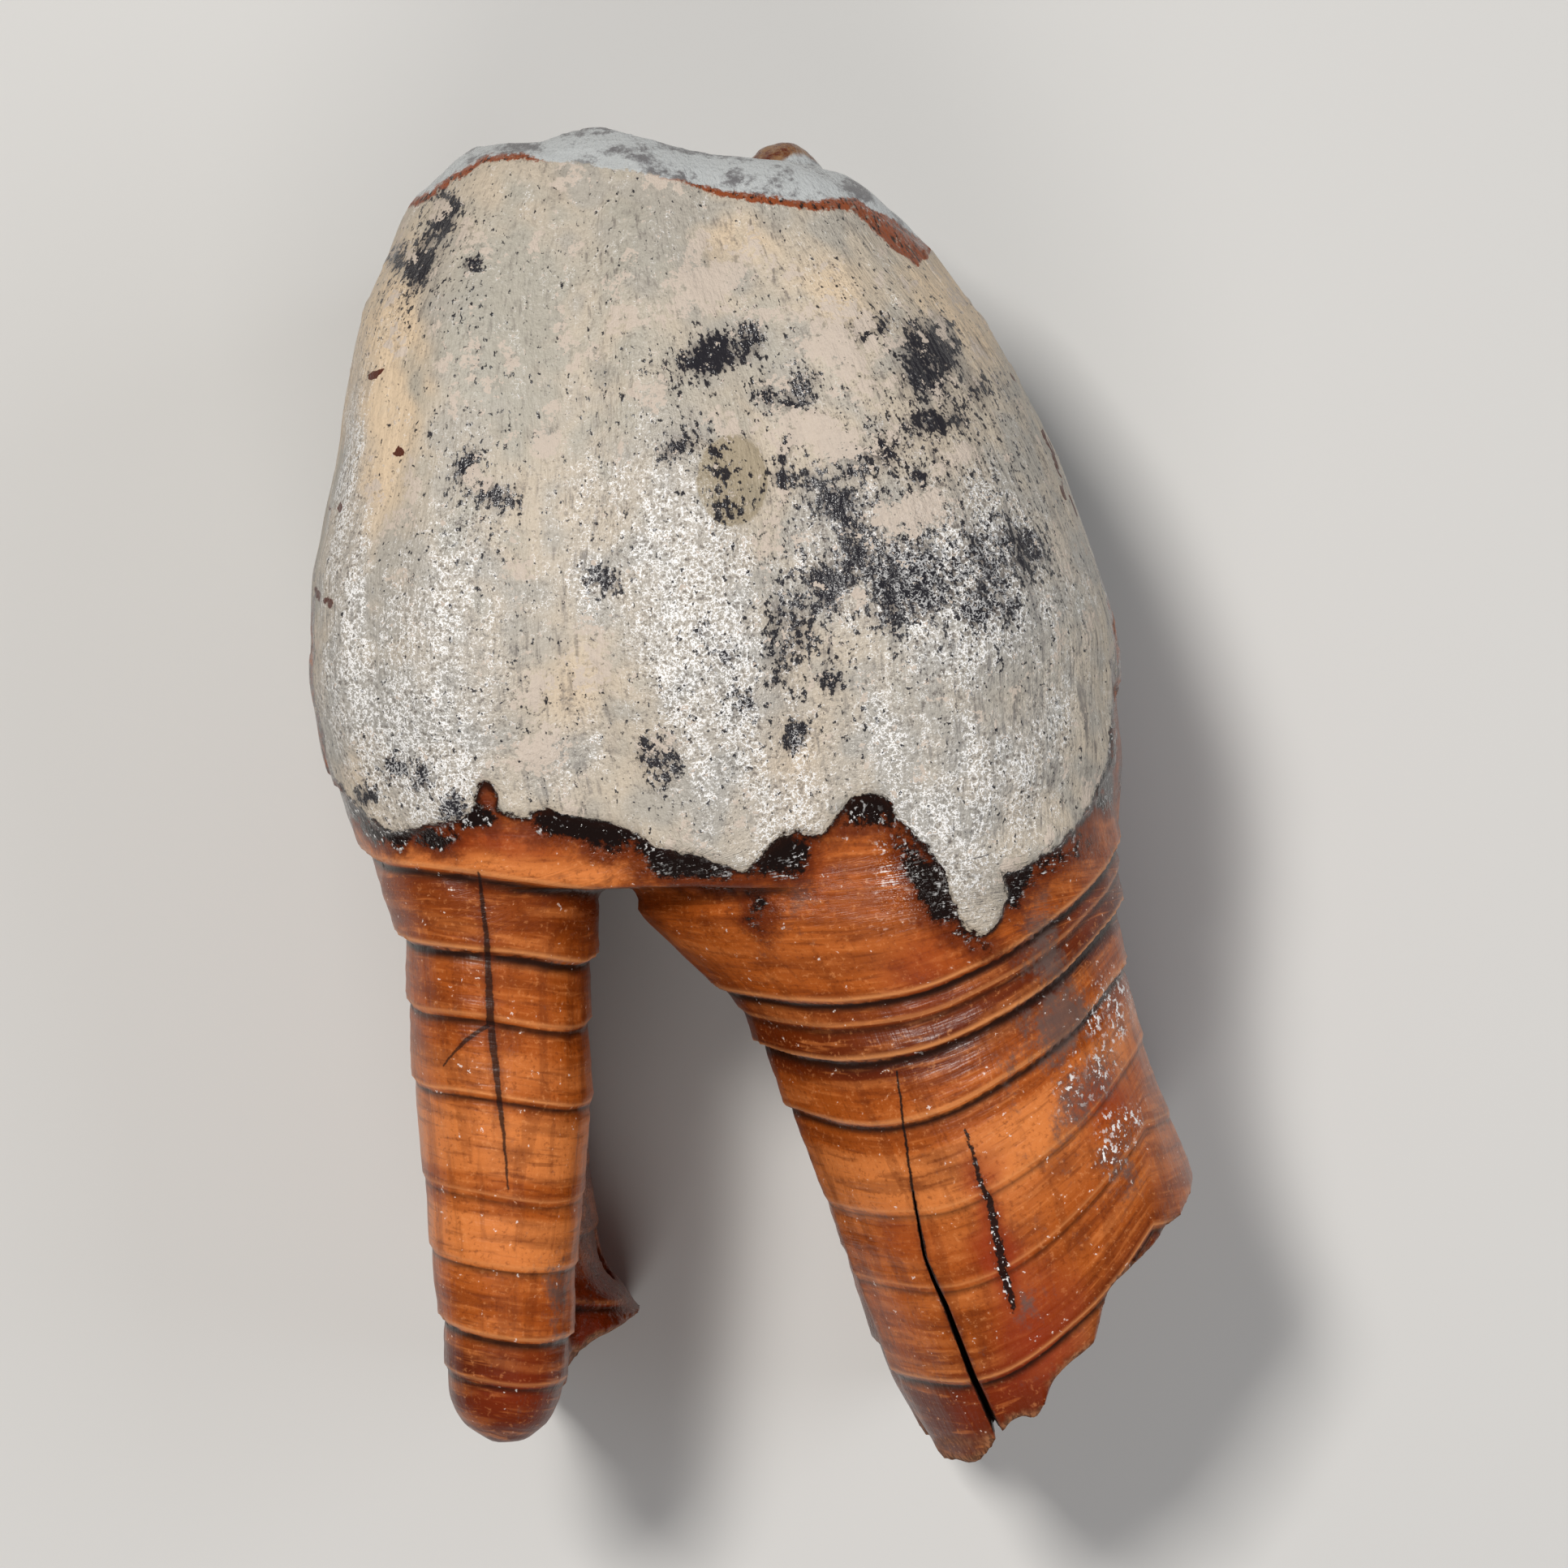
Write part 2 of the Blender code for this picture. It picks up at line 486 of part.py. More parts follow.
def tooth_body():
    crown = loft("crown", crown_rings(180, 70, 44))
    front_left = loft("front_left", tube_rings(FRONT_LEFT_ROOT, 64, 0.8))
    rear_left = loft("rear_left", tube_rings(REAR_LEFT_ROOT, 64, 0.8))
    web = loft("web", tube_rings(LEFT_WEB, 48, 0.8))
    right = loft("right", tube_rings(RIGHT_ROOT, 96, 0.8, RIGHT_WAIST))
    tubes = {"right": right, "rear_left": rear_left}
    cut(right, break_block("break", RIGHT_BREAK, BREAK_RISE["right"], (5, 35), (-4, 48), 1.0))
    for part in (rear_left, web):
        cut(part, break_block("break", LEFT_BREAK, BREAK_RISE["left"], (-28, 0), (-4, 36), 1.0))
    for spec in ROOT_CANALS:
        cut(tubes[spec["tube"]], canal("canal", spec))
    return join("rhino_tooth", [crown, front_left, rear_left, web, right])


def remesh(made, size):
    modifier = made.modifiers.new("skin", "REMESH")
    modifier.mode = "VOXEL"
    modifier.voxel_size = size * MM
    modifier.adaptivity = 0.0
    apply_modifiers(made)


def thin_out(made):
    # Fewer, larger triangles where the surface is smooth, and a true flat where it rests.
    # The origin goes to the middle of the outline, on the flat.
    made.data.calc_loop_triangles()
    modifier = made.modifiers.new("thin_out", "DECIMATE")
    modifier.ratio = MOST_TRIANGLES / len(made.data.loop_triangles)
    modifier.use_collapse_triangulate = True
    apply_modifiers(made)
    points = np.array([v.co for v in made.data.vertices])
    middle = (points.min(axis=0) + points.max(axis=0)) / 2
    points[:, :2] -= middle[:2]
    points[:, 2] = np.where(points[:, 2] < FLAT_BAND * MM, 0.0, points[:, 2])
    made.data.vertices.foreach_set("co", points.ravel())
    made.data.update()
    return middle


def fossil_material():
    material = bpy.data.materials.new("fossil_tooth")
    material.use_nodes = True
    shader = material.node_tree.nodes["Principled BSDF"]
    shader.inputs["Base Color"].default_value = (0.55, 0.44, 0.30, 1)
    shader.inputs["Roughness"].default_value = 0.35
    shader.inputs["Metallic"].default_value = 0.0
    return material


def build():
    for old in list(bpy.data.objects):
        bpy.data.objects.remove(old)
    tooth = tooth_body()
    remesh(tooth, FINE_GRID)
    sculpt(tooth)
    middle = thin_out(tooth)
    cut(tooth, crack_blade(right_front, middle))
    tooth.data.materials.clear()
    tooth.data.materials.append(fossil_material())
    tooth.data.shade_smooth()


build()
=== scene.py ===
import math

import bpy
import numpy as np
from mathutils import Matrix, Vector, noise


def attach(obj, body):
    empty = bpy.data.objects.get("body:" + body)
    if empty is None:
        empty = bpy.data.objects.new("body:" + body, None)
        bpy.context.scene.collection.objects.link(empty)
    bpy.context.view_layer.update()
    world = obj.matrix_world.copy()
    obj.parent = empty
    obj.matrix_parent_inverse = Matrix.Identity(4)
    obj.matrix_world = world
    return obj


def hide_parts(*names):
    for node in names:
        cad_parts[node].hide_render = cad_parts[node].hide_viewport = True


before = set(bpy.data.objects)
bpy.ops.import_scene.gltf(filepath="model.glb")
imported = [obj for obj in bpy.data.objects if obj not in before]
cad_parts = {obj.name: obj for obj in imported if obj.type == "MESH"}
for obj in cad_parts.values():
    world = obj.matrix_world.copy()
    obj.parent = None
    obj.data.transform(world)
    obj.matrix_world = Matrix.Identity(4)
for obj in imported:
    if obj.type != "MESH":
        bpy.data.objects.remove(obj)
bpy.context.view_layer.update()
mm = 0.001

camera = {
    "lens": 150.0,
    "sensorWidth": 36.0,
    "height": 432.5,             # above the floor
    "x": 1.9, "y": 0.6,          # what it looks straight down on
    "sharpPlane": 30.0,          # height at which the photo shows 20 pixels to the millimetre
}

tooth = {
    "shift": (0.07, 0.12),  # from the shaping frame to the frame of the solid
    "skinGrid": 0.395,  # distance of the points of the finished skin
    "hiddenBelow": 24,  # height below which the skin is thinned out
    "facesKept": 0.72,
    # rough skins: (points around, rings, rings of the end) and (points around, distance of the rings)
    "crownGrid": (300, 110, 70),
    "tubeGrid": {
        "frontLeftRoot": (96, 0.5), "rearLeftRoot": (96, 0.5), "leftWeb": (64, 0.6),
        "rightRoot": (160, 0.5)},
    # crown: (y, value) down to the collar
    "crownLeft": [
        (-9, -21.9), (-4, -23.7), (-1, -25.1), (4, -26.4), (8, -26.9), (13, -26.8), (16, -26.1),
        (21, -25.1), (24, -24.8), (29, -23.8), (34, -21.7), (37, -20.5), (40, -19.2)],
    "crownRight": [
        (-9, 22.2), (-4, 22.4), (2, 22.9), (6, 22.5), (9, 22.4), (14, 21), (19, 19.2), (24, 16.9),
        (29, 14.1), (34, 10.5), (37, 8.9), (40, 6.9)],
    "crownFront": [
        (-9, 40), (-5, 42.6), (0, 43.8), (9, 45), (18, 44.2), (27, 42.2), (34, 39.6), (37, 38.2),
        (41, 35.8)],
    "crownBack": [
        (-9, 3.6), (-3, 1.6), (2, 2.6), (10, 0.3), (20, -0.5), (28, -0.2), (33, 1.4), (40, 4.2)],
    "crownBottom": -5.6,
    "crownAxisZ": 22,
    "squareness": {"frontLeft": 4.4, "frontRight": 3, "backLeft": 2.7, "backRight": 2.6},
    # upright waves of the cheek wall: (share of the width from the left, height)
    "wallWaves": [
        (0, 0), (0.045, 0.35), (0.085, -0.35), (0.155, 0.55), (0.32, -0.55), (0.47, 0.65), (0.63, -0.5),
        (0.79, 0.4), (0.92, -0.1), (1, 0)],
    # height of the biting edge: (degrees from +X towards +Z, y)
    "rim": [
        (-180, 35.6), (-150, 35.2), (-125, 36.2), (-105, 33.6), (-96, 31.4), (-86, 33.2), (-65, 35.4),
        (-40, 34.6), (0, 33.8), (20, 34.8), (30, 36), (38, 37), (45, 37.8), (57, 38.3), (74, 38.8),
        (85, 39.3), (96, 40), (105, 40.5), (111, 40.1), (117, 39.4), (128, 39.4), (133, 39.4),
        (138, 38.4), (150, 36.9), (180, 35.6)],
    "rimBevel": 2.4,
    "lobeGroove": [(-8, 0.8), (6, 1.8), (16, 3.6), (26, 6), (34, 9)],
    "lobeGrooveAngle": -96,
    "lobeGrooveWidth": 13,
    # biting surface
    "basinCentre": (-6.5, 20),
    "basinHeight": 35.2,
    "dentineDip": 1.7,
    "enamelWidth": 2.2,
    "pits": [
        {"x": -9.8, "z": 28, "long": 3.3, "wide": 2, "turn": 18, "deep": 6.5},
        {"x": 0.6, "z": 14.2, "long": 3, "wide": 2.1, "turn": 62, "deep": 6}],
    "valley": {"from": (-6.2, 18), "to": (-8.2, 2), "halfWidth": 1.7, "deep": 6},
    "innerCrest": {"from": (2, 30), "to": (1.4, 21), "halfWidth": 4, "top": 40},
    # roots: (y, left x, right x, front z, back z)
    "frontLeftRoot": [
        (2, -23.2, -8.6, 41, 22), (-5, -23, -9.2, 41.4, 22), (-9, -21.6, -9.6, 40.6, 23),
        (-13, -21.2, -10, 39.6, 24), (-19, -20.6, -10, 38.8, 24.5), (-24, -20.1, -10.3, 38, 25),
        (-29, -19.7, -10.9, 37.2, 25.5), (-33, -19.2, -11.2, 36.4, 26),
        (-36.5, -18.8, -11.6, 35.4, 26.8), (-38.6, -17.8, -12.5, 34, 28), (-39.8, -16, -14, 32.4, 30)],
    "rearLeftRoot": [
        (2, -22, -8.6, 20, 2.6), (-6, -21.4, -10.2, 20, 2), (-12, -20.4, -11, 19, 1.2),
        (-20, -18.8, -10.9, 18, 0.4), (-27, -17.4, -10.4, 17, -0.4), (-30.5, -16.6, -9.8, 16.6, -0.4),
        (-32.2, -16.2, -8.4, 16.2, -0.4), (-34, -15.8, -7.2, 16, -0.4), (-40, -15, -6.4, 15, 0.4)],
    "leftWeb": [
        (2, -19.5, -10.8, 30, 12), (-8, -18.5, -11.8, 30, 12), (-20, -17.4, -12, 30, 11),
        (-30, -16.6, -11.6, 29, 10), (-38, -16, -11.6, 28, 10)],
    "rightRoot": [
        (3, -6.2, 21.6, 41, 5), (-4, -6.4, 22, 42.4, 4), (-7, -6.6, 22.1, 42, 3.6),
        (-9, -4.9, 22.3, 41.5, 3.4), (-11, -2.8, 22.7, 41, 3), (-13, -0.9, 23.2, 40.6, 2.6),
        (-17, 1, 24.5, 40, 1.6), (-21, 2.8, 26.3, 39.4, 0.8), (-25, 4.3, 27.8, 38.8, 0.2),
        (-29, 5.7, 28.6, 38, -0.3), (-33, 7.1, 29, 37, -0.4), (-37, 8.6, 29, 36, -0.2),
        (-41, 10.8, 28.8, 35, 1), (-44, 12.4, 28.4, 34, 2)],
    "rootSquareness": 2.5,
    "rightWaist": {"z": 20, "reach": 7, "share": 0.26, "swell": 1.11},
    # old breaks across the roots, seen from the cheek side
    "rightBreak": [
        (9, -45), (12.1, -41.6), (13.2, -41.3), (14.2, -40.8), (14.9, -39.2), (16.1, -37.8),
        (17.1, -38.2), (17.8, -37.8), (18.2, -36), (19, -34.8), (20.4, -33.6), (20.9, -32.8),
        (21.2, -31.2), (21.8, -29.9), (24.4, -27.5), (27, -24.9), (31, -21)],
    "leftBreak": [
        (-18, -39), (-14, -38.2), (-12.1, -37.1), (-11.4, -35.8), (-10.5, -34.7), (-8.6, -34),
        (-7.4, -33.5), (-4, -33)],
    "breakRise": {"right": 0.08, "left": 0},
    "breakBlocks": {"right": ((5, 35), (-4, 48)), "left": ((-28, 0), (-4, 36))},  # x and z ranges
    "breakCell": 0.6,
    "canals": [
        {"tube": "rightRoot", "x": 19.2, "y": -34, "z": 28, "radii": (2.7, 9, 2), "lean": 18},
        {"tube": "rightRoot", "x": 20.5, "y": -31.5, "z": 10.5, "radii": (2.6, 9, 2.2), "lean": 18},
        {"tube": "rearLeftRoot", "x": -11.6, "y": -36, "z": 8, "radii": (1.9, 8, 2.3), "lean": -10}],
    # growth ledges of the root cement: (line, step depth)
    "leftLedges": [
        (-5, 0.5), (-9.6, 0.65), (-13.6, 0.35), (-18.4, 0.3), (-24.4, 0.12), (-28.6, 0.2),
        (-33.1, 0.45), (-36.1, 0.25)],
    "rightLedges": [
        (-12.6, 0.5), (-14.2, 0.25), (-16.3, 0.65), (-20.2, 0.45), (-25.9, 0.15), (-30.6, 0.15),
        (-36.6, 0.35)],
    "coverThickness": 0.45,
    # the open crack of the right root: (x, y, half the gap)
    "crack": [
        (9.7, -24, 0.04), (10.4, -28, 0.08), (11, -29.6, 0.12), (11.7, -31, 0.16), (13.4, -35.5, 0.22),
        (14.2, -37.2, 0.25), (14.9, -38.8, 0.3), (16.3, -42.3, 0.38)],
    "crackDepth": 4,
    "restBand": 0.35,  # height of what is levelled where the tooth rests
}


def through(at, points):
    # value at 'at' on a smooth curve through the (at, value) points, with no overshoot
    knots, values = np.array(points, float).T
    steps = np.diff(knots)
    slopes = np.diff(values) / steps
    both = slopes[:-1] * slopes[1:]
    mean = 2 * both / np.where(both > 0, slopes[:-1] + slopes[1:], 1)
    tangents = np.concatenate([slopes[:1], np.where(both > 0, mean, 0), slopes[-1:]])
    at = np.clip(at, knots[0], knots[-1])
    i = np.clip(np.searchsorted(knots, at, side="right") - 1, 0, len(steps) - 1)
    u = (at - knots[i]) / steps[i]
    straight = values[i] * (1 + 2 * u) * (1 - u) ** 2 + values[i + 1] * u * u * (3 - 2 * u)
    bent = steps[i] * (tangents[i] * u * (1 - u) ** 2 - tangents[i + 1] * u * u * (1 - u))
    return straight + bent


def ease(at, low, high):
    t = np.clip((at - low) / (high - low), 0, 1)
    return t * t * (3 - 2 * t)


def lumps(points, size, seed=0.0):
    # smooth noise from about -1 to 1, with lumps about 'size' mm across
    scaled = points / np.array(size, float) + seed
    return np.array([noise.noise(Vector(p)) for p in scaled])


# shape of the crown

def crownRadius(angle, y):
    left, right = through(y, tooth["crownLeft"]), through(y, tooth["crownRight"])
    front, back = through(y, tooth["crownFront"]), through(y, tooth["crownBack"])
    axis, square = tooth["crownAxisZ"], tooth["squareness"]
    cos, sin = np.cos(angle), np.sin(angle)
    halfWidth = (right - left) / 2
    halfDepth = np.where(sin >= 0, front - axis, axis - back)
    power = np.where(sin >= 0, np.where(cos < 0, square["frontLeft"], square["frontRight"]),
                     np.where(cos < 0, square["backLeft"], square["backRight"]))
    radius = ((np.abs(cos) / halfWidth) ** power + (np.abs(sin) / halfDepth) ** power) ** (-1 / power)
    share = (radius * cos + halfWidth) / (2 * halfWidth)
    fade = np.clip(sin, 0, 1) ** 2 * (1 - 0.5 * ease(y, 28, 38))
    radius = radius + through(share, tooth["wallWaves"]) * fade
    offGroove = (np.degrees(angle) - tooth["lobeGrooveAngle"]) / tooth["lobeGrooveWidth"]
    return radius - through(y, tooth["lobeGroove"]) * np.exp(-offGroove ** 2), (left + right) / 2


def rimHeight(angle):
    return through(np.degrees(angle), tooth["rim"])


def segmentDistance(x, z, start, end):
    along = np.array(end, float) - np.array(start, float)
    t = np.clip(((x - start[0]) * along[0] + (z - start[1]) * along[1]) / (along @ along), 0, 1)
    return np.hypot(x - start[0] - t * along[0], z - start[1] - t * along[1])


def pitDistance(x, z, pit):
    turn = math.radians(pit["turn"])
    dx, dz = x - pit["x"], z - pit["z"]
    u = (dx * math.cos(turn) + dz * math.sin(turn)) / pit["long"]
    v = (dz * math.cos(turn) - dx * math.sin(turn)) / pit["wide"]
    wobble = 1 + 0.13 * np.sin(3 * np.arctan2(v, u) + pit["x"])
    return (np.hypot(u, v) - wobble) * (pit["long"] + pit["wide"]) / 2


def bitingGaps(x, z):
    # how far each point is outside each pit and the valley, with their depths
    gaps = [(pitDistance(x, z, pit), pit["deep"]) for pit in tooth["pits"]]
    valley = tooth["valley"]
    gaps.append((segmentDistance(x, z, valley["from"], valley["to"]) - valley["halfWidth"], valley["deep"]))
    return gaps


def dentineShare(inside, gaps):
    # 1 on the worn dentine, 0 on the enamel crests
    wide = tooth["enamelWidth"]
    share = ease(inside, wide * 0.7, wide * 1.6)
    for gap, deep in gaps:
        share = share * ease(gap, wide * 0.5, wide * 1.3)
    return share


def bitingSurface(angle, share, x, z, wall):
    rim = rimHeight(angle)
    height = tooth["basinHeight"] + (rim - tooth["basinHeight"]) * share ** 1.4
    inside = (1 - share) * wall
    gaps = bitingGaps(x, z)
    height = height - tooth["dentineDip"] * dentineShare(inside, gaps)
    ridge = tooth["innerCrest"]
    crest = np.exp(-(segmentDistance(x, z, ridge["from"], ridge["to"]) / ridge["halfWidth"]) ** 2)
    height = height + (ridge["top"] - height) * crest * ease(inside, 0, 4)
    for gap, deep in gaps:
        height = height - deep * ease(-gap, -0.3, 1.5)
    return height


def ringAt(angle, radius, middle, y):
    x = middle + radius * np.cos(angle)
    z = tooth["crownAxisZ"] + radius * np.sin(angle)
    return np.column_stack([x, np.broadcast_to(y, x.shape), z])


def crownRings(around, rings, capRings):
    angle = np.linspace(-math.pi, math.pi, around, endpoint=False)
    bottom, rim = tooth["crownBottom"], rimHeight(angle)
    made = []
    for share in (0.4, 0.75, 0.92):
        radius, middle = crownRadius(angle, np.full(around, bottom))
        made.append(ringAt(angle, radius * share, middle, bottom - 0.4 * (1 - share)))
    for rise in np.linspace(0, 1, rings):
        y = bottom + (rim - bottom) * rise
        radius, middle = crownRadius(angle, y)
        radius = radius - 1.5 * ease(y, rim - tooth["rimBevel"], rim + 0.6) ** 2
        made.append(ringAt(angle, radius, middle, y))
    edge = made[-1]
    centre = tooth["basinCentre"]
    wall = np.hypot(edge[:, 0] - centre[0], edge[:, 2] - centre[1])
    for share in np.linspace(1, 0, capRings + 1)[1:-1]:
        x = centre[0] + (edge[:, 0] - centre[0]) * share
        z = centre[1] + (edge[:, 2] - centre[1]) * share
        made.append(np.column_stack([x, bitingSurface(angle, share, x, z, wall), z]))
    return made


# shape of the roots

def tubeRings(levels, around, spacing, waist=None):
    levels = np.array(levels, float)[::-1]
    low, high = levels[0, 0], levels[-1, 0]
    angle = np.linspace(-math.pi, math.pi, around, endpoint=False)
    cos, sin = np.cos(angle), np.sin(angle)
    power = tooth["rootSquareness"]
    out = (np.abs(cos) ** power + np.abs(sin) ** power) ** (-1 / power)
    made = []
    for y in np.linspace(high, low, max(3, round((high - low) / spacing))):
        left, right, front, back = (float(through(y, levels[:, (0, k)])) for k in (1, 2, 3, 4))
        z = (front + back) / 2 + (front - back) / 2 * out * sin
        wide = (right - left) / 2 * out * cos
        if waist:
            pinch = waist["share"] * np.exp(-((z - waist["z"]) / waist["reach"]) ** 2)
            wide = wide * (waist["swell"] - pinch)
        made.append(np.column_stack([(left + right) / 2 + wide, np.full(around, y), z]))
    return made


def meshObject(name, points, faces):
    mesh = bpy.data.meshes.new(name)
    mesh.from_pydata((np.asarray(points) * mm).tolist(), [], faces)
    mesh.update()
    made = bpy.data.objects.new(name, mesh)
    bpy.context.scene.collection.objects.link(made)
    return made


def faceOut(made):
    mesh = made.data
    mesh.calc_loop_triangles()
    points = np.array([v.co for v in mesh.vertices])
    corners = points[np.array([t.vertices for t in mesh.loop_triangles])]
    if np.linalg.det(corners).sum() < 0:
        mesh.flip_normals()


def loft(name, rings):
    # a closed skin over the rings, each end drawn in to one point
    around = len(rings[0])
    points = np.concatenate([*rings, [rings[0].mean(axis=0)], [rings[-1].mean(axis=0)]])
    first, last = len(points) - 2, len(points) - 1
    top = (len(rings) - 1) * around
    faces = []
    for a in range(around):
        b = (a + 1) % around
        for k in range(0, top, around):
            faces.append((k + a, k + b, k + around + b, k + around + a))
        faces.append((first, b, a))
        faces.append((last, top + a, top + b))
    made = meshObject(name, points, faces)
    faceOut(made)
    return made


def breakBlock(edge, rise, xRange, zRange, cell):
    # a block below a rough broken surface that follows 'edge' at the cheek side
    xs = np.arange(xRange[0], xRange[1] + cell / 2, cell)
    zs = np.arange(zRange[0], zRange[1] + cell / 2, cell)
    gridX, gridZ = (g.ravel() for g in np.meshgrid(xs, zs, indexing="ij"))
    flat = np.column_stack([gridX, np.zeros_like(gridX), gridZ])
    knots = np.array(edge, float)
    shifted = gridX + 0.8 * lumps(flat, 5, 3) * ease(36 - gridZ, 0, 8)
    top = np.interp(shifted, knots[:, 0], knots[:, 1]) + rise * np.clip(36 - gridZ, 0, None)
    rough = 0.9 * lumps(flat, 4, 7) + 0.4 * lumps(flat, 1.6, 9)
    top = top + rough * ease(38 - gridZ, 0, 6)
    points = np.concatenate([np.column_stack([gridX, top, gridZ]),
                             np.column_stack([gridX, 0 * top - 60, gridZ])])
    wide, deep = len(xs), len(zs)
    count = wide * deep
    faces = []
    for i in range(wide - 1):
        for j in range(deep - 1):
            a, b, c, d = i * deep + j, (i + 1) * deep + j, (i + 1) * deep + j + 1, i * deep + j + 1
            faces += [(a, b, c, d), (a + count, d + count, c + count, b + count)]
    border = [i * deep for i in range(wide)] + [(wide - 1) * deep + j for j in range(1, deep)]
    border += [i * deep + deep - 1 for i in range(wide - 2, -1, -1)] + list(range(deep - 2, 0, -1))
    for a, b in zip(border, border[1:] + border[:1]):
        faces.append((a, a + count, b + count, b))
    made = meshObject("break", points, faces)
    faceOut(made)
    return made


def canal(spec, around=24, rings=21):
    made = []
    lean = math.tan(math.radians(spec["lean"]))
    wide, long, deep = spec["radii"]
    angle = np.linspace(-math.pi, math.pi, around, endpoint=False)
    for t in np.linspace(-0.97, 0.97, rings):
        girth = math.sqrt(1 - t * t)
        x = spec["x"] + wide * girth * np.cos(angle) - long * t * lean
        z = spec["z"] + deep * girth * np.sin(angle)
        made.append(np.column_stack([x, np.full(around, spec["y"] + long * t), z]))
    return loft("canal", made)


def rightFront(x, y):
    levels = np.array(tooth["rightRoot"], float)[::-1]
    left, right, front, back = (float(through(y, levels[:, (0, k)])) for k in (1, 2, 3, 4))
    off = abs(x - (left + right) / 2) / ((right - left) / 2)
    depth = (1 - min(off, 0.99) ** tooth["rootSquareness"]) ** (1 / tooth["rootSquareness"])
    return (front + back) / 2 + (front - back) / 2 * depth - tooth["restBand"]


def crackBlade():
    points = []
    for x, y, half in tooth["crack"]:
        face = rightFront(x, y)
        points += [(x - half * 1.3, y, face + 1.5), (x + half * 1.3, y, face + 1.5),
                   (x + half * 0.3, y, face - tooth["crackDepth"]),
                   (x - half * 0.3, y, face - tooth["crackDepth"])]
    faces = [(3, 2, 1, 0)]
    for k in range(0, len(points) - 4, 4):
        for a in range(4):
            b = (a + 1) % 4
            faces.append((k + a, k + b, k + 4 + b, k + 4 + a))
    end = len(points) - 4
    faces.append((end, end + 1, end + 2, end + 3))
    made = meshObject("crackBlade", points, faces)
    faceOut(made)
    return made


def applyModifiers(made):
    bpy.context.view_layer.update()
    graph = bpy.context.evaluated_depsgraph_get()
    mesh = bpy.data.meshes.new_from_object(made.evaluated_get(graph))
    made.modifiers.clear()
    made.data = mesh


def cut(made, cutter):
    modifier = made.modifiers.new("cut", "BOOLEAN")
    modifier.operation = "DIFFERENCE"
    modifier.object = cutter
    applyModifiers(made)
    bpy.data.objects.remove(cutter)


def joinSkins(name, parts):
    points, faces, base = [], [], 0
    for part in parts:
        points.append(np.array([v.co for v in part.data.vertices]) / mm)
        faces += [tuple(base + v for v in face.vertices) for face in part.data.polygons]
        base += len(part.data.vertices)
        bpy.data.objects.remove(part)
    return meshObject(name, np.concatenate(points), faces)


def roughTooth():
    parts = {"crown": loft("crown", crownRings(*tooth["crownGrid"]))}
    for name, grid in tooth["tubeGrid"].items():
        waist = tooth["rightWaist"] if name == "rightRoot" else None
        parts[name] = loft(name, tubeRings(tooth[name], *grid, waist))
    for name, side in (("rightRoot", "right"), ("rearLeftRoot", "left"), ("leftWeb", "left")):
        block = breakBlock(tooth[side + "Break"], tooth["breakRise"][side], *tooth["breakBlocks"][side],
                           tooth["breakCell"])
        cut(parts[name], block)
    for spec in tooth["canals"]:
        cut(parts[spec["tube"]], canal(spec))
    return joinSkins("fossilTooth", parts.values())


